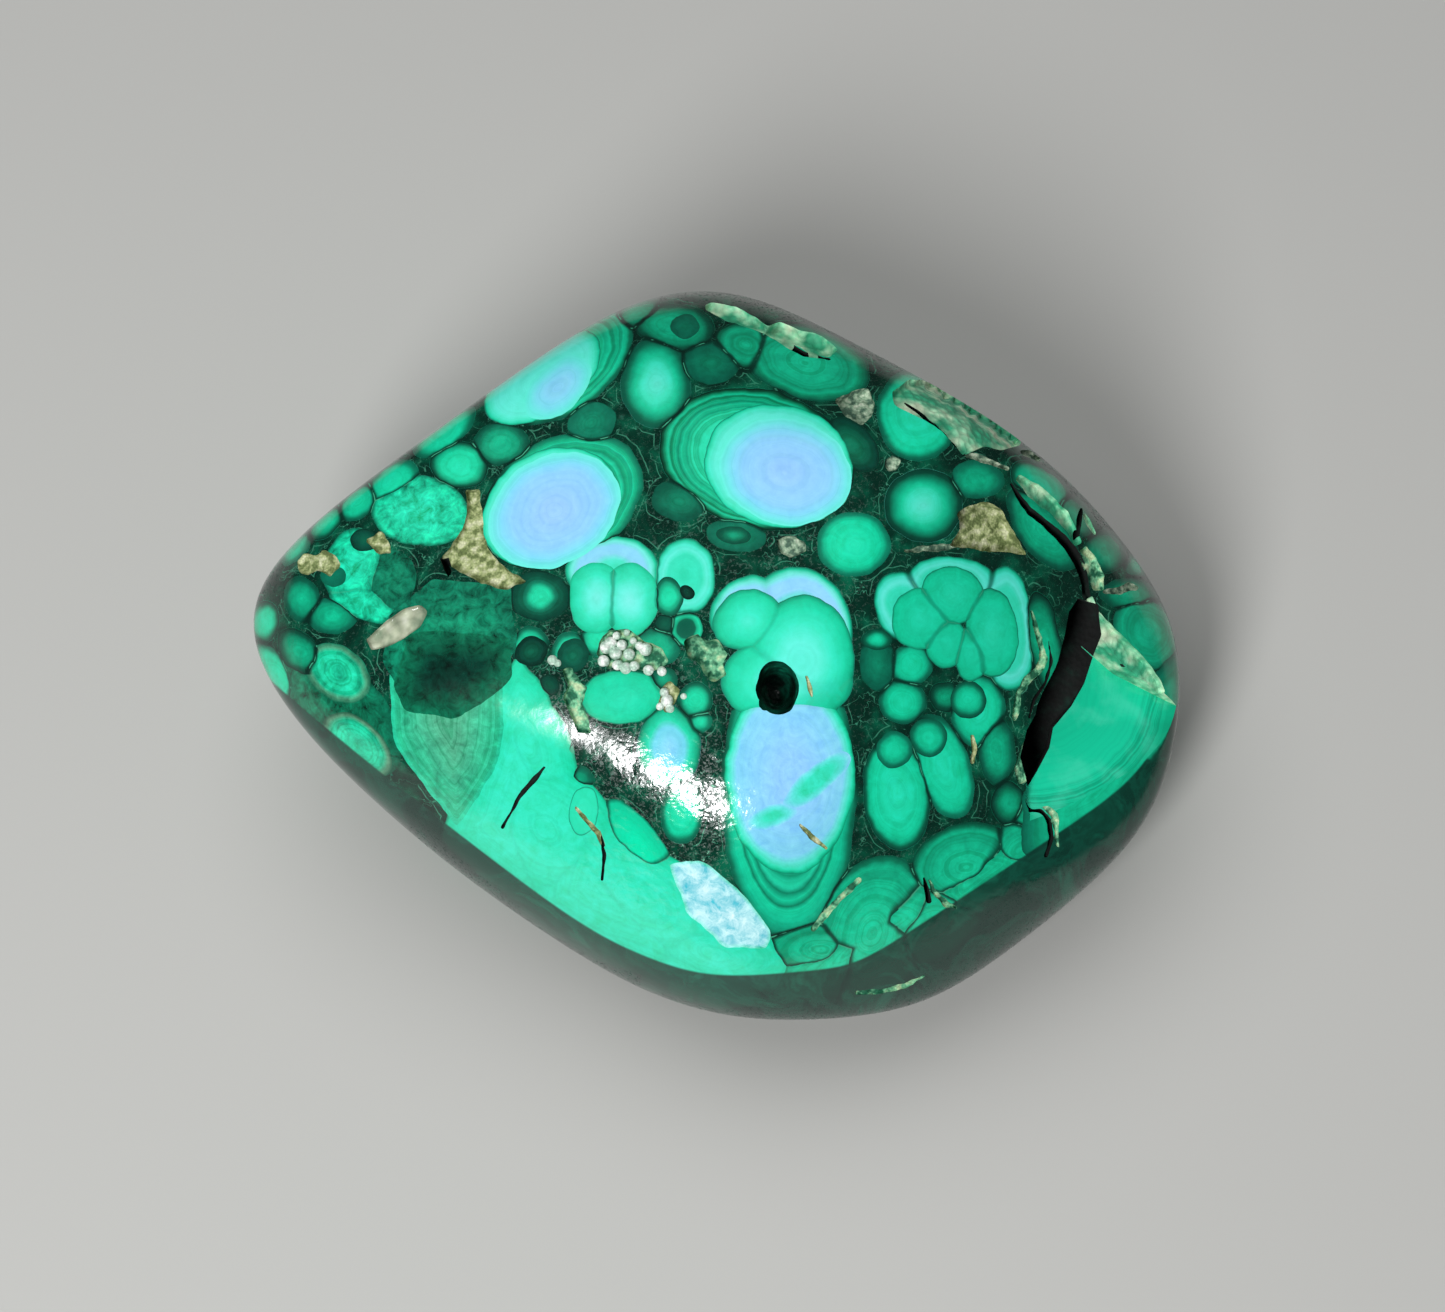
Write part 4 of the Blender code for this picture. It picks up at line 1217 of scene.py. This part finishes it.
def plane_matrix(point, normal, turn=0.0):
    """A frame at the point, its Z along the normal and its X the way across, turned in the skin."""
    side = (ACROSS - normal * normal.dot(ACROSS)).normalized()
    axes = Matrix((side, normal.cross(side), normal)).transposed().to_4x4()
    frame_there = Matrix.Translation(CORE + point) @ axes
    return frame_there @ Matrix.Rotation(math.radians(turn), 4, "Z")


def read_skin():
    """How far out the skin lies at each half millimetre of the show side."""
    columns = np.arange(-SKIN_ACROSS, SKIN_ACROSS, SKIN_STEP)
    rows = np.arange(-SKIN_UP, SKIN_UP, SKIN_STEP)
    across, up = np.meshgrid(columns, rows)
    inner = np.where(up > FAR_EDGE_FROM, LOWEST_FAR, LOWEST_NEAR)
    outer = np.full(across.shape, OVER_THE_SKIN)
    for _ in range(SKIN_HALVINGS):
        middle = (inner + outer) / 2
        outside = depth_level(show_points(across, up, middle) * MM) > 1
        outer = np.where(outside, middle, outer)
        inner = np.where(outside, inner, middle)
    return inner


def show_points(across, up, out):
    """Points from the core, in millimetres, that show at these places and lie this far out."""
    share = 1 - out / READ_FROM
    across = (across * share)[..., None] * np.array(ACROSS)
    up = (up * share)[..., None] * np.array(UP)
    return across + up + out[..., None] * np.array(OUT)


SKIN_OUT = read_skin()


def lay_on_skin(places):
    """Moves points given as across, up and height onto the skin, along its normals."""
    column = (places[:, 0] + SKIN_ACROSS) / SKIN_STEP
    row = (places[:, 1] + SKIN_UP) / SKIN_STEP
    left = column.astype(int)
    low = row.astype(int)
    right = column - left
    high = row - low
    lower = SKIN_OUT[low, left] * (1 - right) + SKIN_OUT[low, left + 1] * right
    upper = SKIN_OUT[low + 1, left] * (1 - right) + SKIN_OUT[low + 1, left + 1] * right
    points = show_points(places[:, 0], places[:, 1], lower * (1 - high) + upper * high)
    return (points + skin_normals(points) * places[:, 2:]) * MM + np.array(CORE)


def drawn_solid(name, border, height):
    """A straight-sided solid with this outline, half its height above and half below."""
    curve = bpy.data.curves.new(name, "CURVE")
    curve.dimensions = "2D"
    curve.fill_mode = "BOTH"
    curve.extrude = height / 2
    spline = curve.splines.new("POLY")
    spline.points.add(len(border) - 1)
    spline.use_cyclic_u = True
    for point, place in zip(spline.points, border):
        point.co = (*place, 0, 1)
    drawn = bpy.data.objects.new(name, curve)
    bpy.context.scene.collection.objects.link(drawn)
    pick_only(drawn)
    bpy.ops.object.convert(target="MESH")
    solid = bpy.context.object
    bpy.ops.object.mode_set(mode="EDIT")
    bpy.ops.mesh.select_all(action="SELECT")
    bpy.ops.mesh.remove_doubles(threshold=height * 1e-4)
    bpy.ops.mesh.normals_make_consistent(inside=False)
    bpy.ops.object.mode_set(mode="OBJECT")
    return solid


def raw_places():
    """The borders and depths of all raw places, by their surface and the step they need."""
    groups = {}
    for surface, depth, *border in HOLLOWS.values():
        groups.setdefault((surface, WIDE_STEP), []).append((depth, border))
    for surface, depth, *line in VEINS.values():
        groups.setdefault((surface, THIN_STEP), []).append((depth, band_border(line)))
    return groups


def raw_cutter(surface, step, places, materials):
    """All raw places of one surface as one lumpy cutter, laid on the skin."""
    solids = []
    for depth, border in places:
        solid = drawn_solid(surface, border, depth + HOLLOW_ABOVE)
        solid.data.transform(Matrix.Translation((0, 0, (HOLLOW_ABOVE - depth) / 2)))
        solids.append(solid)
    cutter = join_pieces(solids, f"{surface} cutter")
    fine = cutter.modifiers.new("fine", "REMESH")
    fine.mode = "VOXEL"
    fine.voxel_size = step
    grain, height = SURFACE_GRAIN[surface]
    height = min(height, 0.7 * min(depth for depth, border in places))
    for kind, size, share in (("CLOUDS", grain * 2, 1.5), ("VORONOI", grain, 0.8)):
        texture = bpy.data.textures.new(f"{surface} {kind.lower()}", kind)
        texture.noise_scale = size
        push = cutter.modifiers.new("push", "DISPLACE")
        push.texture = texture
        push.texture_coords = "LOCAL"
        push.strength = height * share
        push.mid_level = 0.5
    clean = cutter.modifiers.new("clean", "REMESH")
    clean.mode = "VOXEL"
    clean.voxel_size = step
    cutter.modifiers.new("triangles", "TRIANGULATE")
    apply_modifiers(cutter)
    places = np.empty(len(cutter.data.vertices) * 3)
    cutter.data.vertices.foreach_get("co", places)
    places = lay_on_skin(places.reshape(-1, 3))
    cutter.data.vertices.foreach_set("co", places.ravel())
    cutter.data.update()
    cutter.data.materials.append(materials[surface])
    return cutter


def round_pit(name, across, up, half_length, half_width, depth, materials):
    """A squashed ball with a grainy surface, which takes one round hole out of the skin."""
    point = seen(across, up)
    normal = Vector(skin_normals(np.array(point)))
    bpy.ops.object.select_all(action="DESELECT")
    bpy.ops.mesh.primitive_ico_sphere_add(subdivisions=FINE_PIT_DETAIL, radius=1)
    pit = bpy.context.object
    pit.name = name
    pit.data.transform(Matrix.Diagonal((half_length * MM, half_width * MM, depth * MM, 1)))
    centre = point + normal * depth * PIT_LIFT * MM
    pit.data.transform(plane_matrix(centre, normal))
    lumps = bpy.data.textures.new(f"{name} lumps", "CLOUDS")
    lumps.noise_scale = HOLE_LUMPS[0] * MM
    push = pit.modifiers.new("push", "DISPLACE")
    push.texture = lumps
    push.texture_coords = "LOCAL"
    push.strength = HOLE_LUMPS[1] * MM
    push.mid_level = 0.5
    apply_modifiers(pit)
    pit.data.materials.append(materials["hole wall"])
    return pit


def outline_cutter(name, border, matrix, deep, high, materials):
    """A straight-sided cutter from one side of a plane to the other, with its own surfaces."""
    to_frame = matrix.inverted()
    flat = [(to_frame @ (CORE + place)).xy for place in border]
    solid = drawn_solid(name, flat, (deep + high) * MM)
    solid.data.transform(matrix @ Matrix.Translation((0, 0, (high - deep) / 2 * MM)))
    for material in materials:
        solid.data.materials.append(material)
    return solid


def slab_cutter(materials):
    corners = [seen(across, up) - OUT * depth * MM for across, up, depth in SLAB_THROUGH]
    normal = (corners[1] - corners[0]).cross(corners[2] - corners[0]).normalized()
    if normal.dot(OUT) < 0:
        normal.negate()
    border = [seen(across, up) for across, up in SLAB_BORDER]
    matrix = plane_matrix(corners[0], normal)
    # the slab's step walls take the near black of painted shadow
    surfaces = [materials[name] for name in ("dark hollow", "slab", "pale fracture")]
    cutter = outline_cutter("slab_cut", border, matrix, 0, SLAB_CUT_ABOVE, surfaces)
    for face in cutter.data.polygons:
        away = face.center - CORE
        if face.normal.dot(normal) < -0.9:
            face.material_index = 1
        elif away.dot(ACROSS) > FLAP_FROM * MM and away.dot(UP) > FLAP_ABOVE * MM:
            face.material_index = 2
    return cutter


def band_border(line):
    """Both sides of a line that gives its width at each point, as one closed border."""
    left = []
    right = []
    for index, (across, up, width) in enumerate(line):
        before = Vector(line[max(index - 1, 0)][:2])
        after = Vector(line[min(index + 1, len(line) - 1)][:2])
        along = (after - before).normalized()
        side = Vector((-along.y, along.x)) * width / 2
        left.append(Vector((across, up)) + side)
        right.append(Vector((across, up)) - side)
    return left + right[::-1]


def straight_cut(name, border, depth, materials):
    places = [seen(*place) for place in border]
    middle = sum(places, Vector()) / len(places)
    matrix = plane_matrix(middle, OUT)
    return outline_cutter(name, places, matrix, depth, CUT_ABOVE, [materials["dark hollow"]])


def cells_near(column, row):
    """The eyes and areas that reach this part of the show side, with their numbers."""
    low = Vector(((-99, *PART_ACROSS)[column], (-99, *PART_UP)[row]))
    high = Vector(((*PART_ACROSS, 99)[column], (*PART_UP, 99)[row]))
    found = []
    for number, (across, up, half_length, half_width, turn, style, layer) in enumerate(EYES.values()):
        cosine = math.cos(math.radians(turn))
        sine = math.sin(math.radians(turn))
        wide = math.hypot(half_length * cosine, half_width * sine) + PART_MARGIN
        tall = math.hypot(half_length * sine, half_width * cosine) + PART_MARGIN
        if low.x - wide < across < high.x + wide and low.y - tall < up < high.y + tall:
            shape = (across, up, half_length, half_width, turn)
            found.append((number, style, layer, shape))
    for number, (style, layer, *border) in enumerate(AREAS.values(), len(EYES)):
        left = min(across for across, up in border) - PART_MARGIN
        right = max(across for across, up in border) + PART_MARGIN
        bottom = min(up for across, up in border) - PART_MARGIN
        top = max(up for across, up in border) + PART_MARGIN
        if left < high.x and right > low.x and bottom < high.y and top > low.y:
            found.append((number, style, layer, border))
    return found


def paint_parts(stone):
    """Gives each face of the skin the surface of the part of the show side that it lies in."""
    mesh = stone.data
    centres = np.empty(len(mesh.polygons) * 3)
    mesh.polygons.foreach_get("center", centres)
    places = (centres.reshape(-1, 3) - np.array(CORE)) / MM
    spread = READ_FROM / (READ_FROM - places @ np.array(OUT))
    columns = np.searchsorted(PART_ACROSS, places @ np.array(ACROSS) * spread)
    rows = np.searchsorted(PART_UP, places @ np.array(UP) * spread)
    parts = columns + rows * (len(PART_ACROSS) + 1)
    used = sorted(set(parts.tolist()))
    for number, part in enumerate(used):
        row, column = divmod(part, len(PART_ACROSS) + 1)
        mesh.materials.append(banded_malachite(number + 1, cells_near(column, row)))
    mesh.polygons.foreach_set("material_index", np.searchsorted(used, parts))


def join_pieces(pieces, name):
    bpy.ops.object.select_all(action="DESELECT")
    for piece in pieces:
        piece.select_set(True)
    bpy.context.view_layer.objects.active = pieces[0]
    if len(pieces) > 1:
        bpy.ops.object.join()
    joined = bpy.context.object
    joined.name = name
    return joined


def take_out(stone, cutter):
    taken = stone.modifiers.new(cutter.name, "BOOLEAN")
    taken.operation = "DIFFERENCE"
    taken.solver = "EXACT"
    taken.material_mode = "TRANSFER"
    taken.object = cutter
    apply_modifiers(stone)
    bpy.data.objects.remove(cutter)


def close_gaps(stone):
    """Fills the hair-thin gaps that the cuts can leave."""
    bpy.ops.object.mode_set(mode="EDIT")
    bpy.ops.mesh.select_mode(type="EDGE")
    bpy.ops.mesh.select_all(action="DESELECT")
    bpy.ops.mesh.select_non_manifold(use_multi_face=False, use_non_contiguous=False, use_verts=False)
    bpy.ops.mesh.fill_holes(sides=0)
    bpy.ops.mesh.select_all(action="SELECT")
    bpy.ops.mesh.delete_loose()
    bpy.ops.object.mode_set(mode="OBJECT")


def white_balls(materials):
    """Small balls of pale growth, sunk a little in the floor that they grew on."""
    balls = []
    for across, up, radius in BALLS:
        point = seen(across, up)
        bpy.ops.object.select_all(action="DESELECT")
        bpy.ops.mesh.primitive_ico_sphere_add(subdivisions=3, radius=radius * MM)
        ball = bpy.context.object
        normal = Vector(skin_normals(np.array(point)))
        ball.data.transform(plane_matrix(point - normal * radius * 0.5 * MM, normal))
        ball.location = (0, 0, 0)
        balls.append(ball)
    joined = join_pieces(balls, "white_balls")
    joined.data.materials.append(materials["white balls"])
    pick_only(joined)
    bpy.ops.object.shade_smooth()
    return joined


def floor_and_lights():
    bpy.ops.object.select_all(action="DESELECT")
    bpy.ops.mesh.primitive_plane_add(size=FLOOR_SIZE)
    floor = bpy.context.object
    floor.name = "studio_floor"
    material, tree, shader = new_surface("pale studio paper")
    shader.inputs["Base Color"].default_value = linear("#b4b4b1")
    shader.inputs["Roughness"].default_value = 0.9
    floor.data.materials.append(material)

    world = bpy.data.worlds.new("soft studio")
    bpy.context.scene.world = world
    world.use_nodes = True
    background = world.node_tree.nodes["Background"]
    background.inputs["Color"].default_value = linear("#dfe4ea")
    background.inputs["Strength"].default_value = WORLD_STRENGTH

    key = KEY_WAY[0] * ACROSS + KEY_WAY[1] * UP + KEY_WAY[2] * OUT
    soft_light("key softbox", CORE + key.normalized() * KEY_FAR, KEY_SIDES, KEY_POWER, True)
    ceiling = CORE + Vector(CEILING_FROM_CORE)
    soft_light("ceiling light", ceiling, CEILING_SIDES, CEILING_POWER, False)


def soft_light(name, place, sides, power, mirrored):
    light = bpy.data.lights.new(name, "AREA")
    light.shape = "ELLIPSE"
    light.size, light.size_y = sides
    light.energy = power
    lamp = bpy.data.objects.new(name, light)
    bpy.context.scene.collection.objects.link(lamp)
    lamp.location = place
    lamp.rotation_euler = (CORE - place).to_track_quat("-Z", "Y").to_euler()
    lamp.visible_glossy = mirrored


def photograph_view():
    camera = bpy.data.cameras.new("photograph view")
    camera.sensor_width = SENSOR
    camera.lens = SENSOR * READ_FROM / FRAME_WIDTH_AT_CORE
    camera.clip_start = 0.01
    viewer = bpy.data.objects.new("photograph view", camera)
    bpy.context.scene.collection.objects.link(viewer)
    viewer.location = CORE + OUT * READ_FROM * MM + ACROSS * FRAME_ASIDE * MM
    viewer.rotation_euler = (math.radians(90 - SHOW_RISE), 0, 0)
    bpy.context.scene.camera = viewer


def main():
    materials = make_materials()
    stone = grind_stone()
    paint_parts(stone)
    take_out(stone, slab_cutter(materials))
    take_out(stone, straight_cut("cavity_cut", CAVITY_BORDER, CAVITY_DEPTH, materials))
    groups = sorted(raw_places().items(), key=lambda group: group[0][0] == LATE_SURFACE)
    for (surface, step), places in groups:
        take_out(stone, raw_cutter(surface, step, places, materials))
    holes = [round_pit(name, *sizes, materials) for name, sizes in HOLE_PITS.items()]
    for hole in holes:
        take_out(stone, hole)
    pick_only(stone)
    close_gaps(stone)
    bpy.ops.object.shade_smooth_by_angle(angle=math.radians(35))
    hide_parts("malachite_stone")
    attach(stone, "root")
    balls = white_balls(materials)
    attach(balls, "root")
    floor_and_lights()
    photograph_view()
    bpy.context.scene.view_settings.view_transform = "Standard"


main()
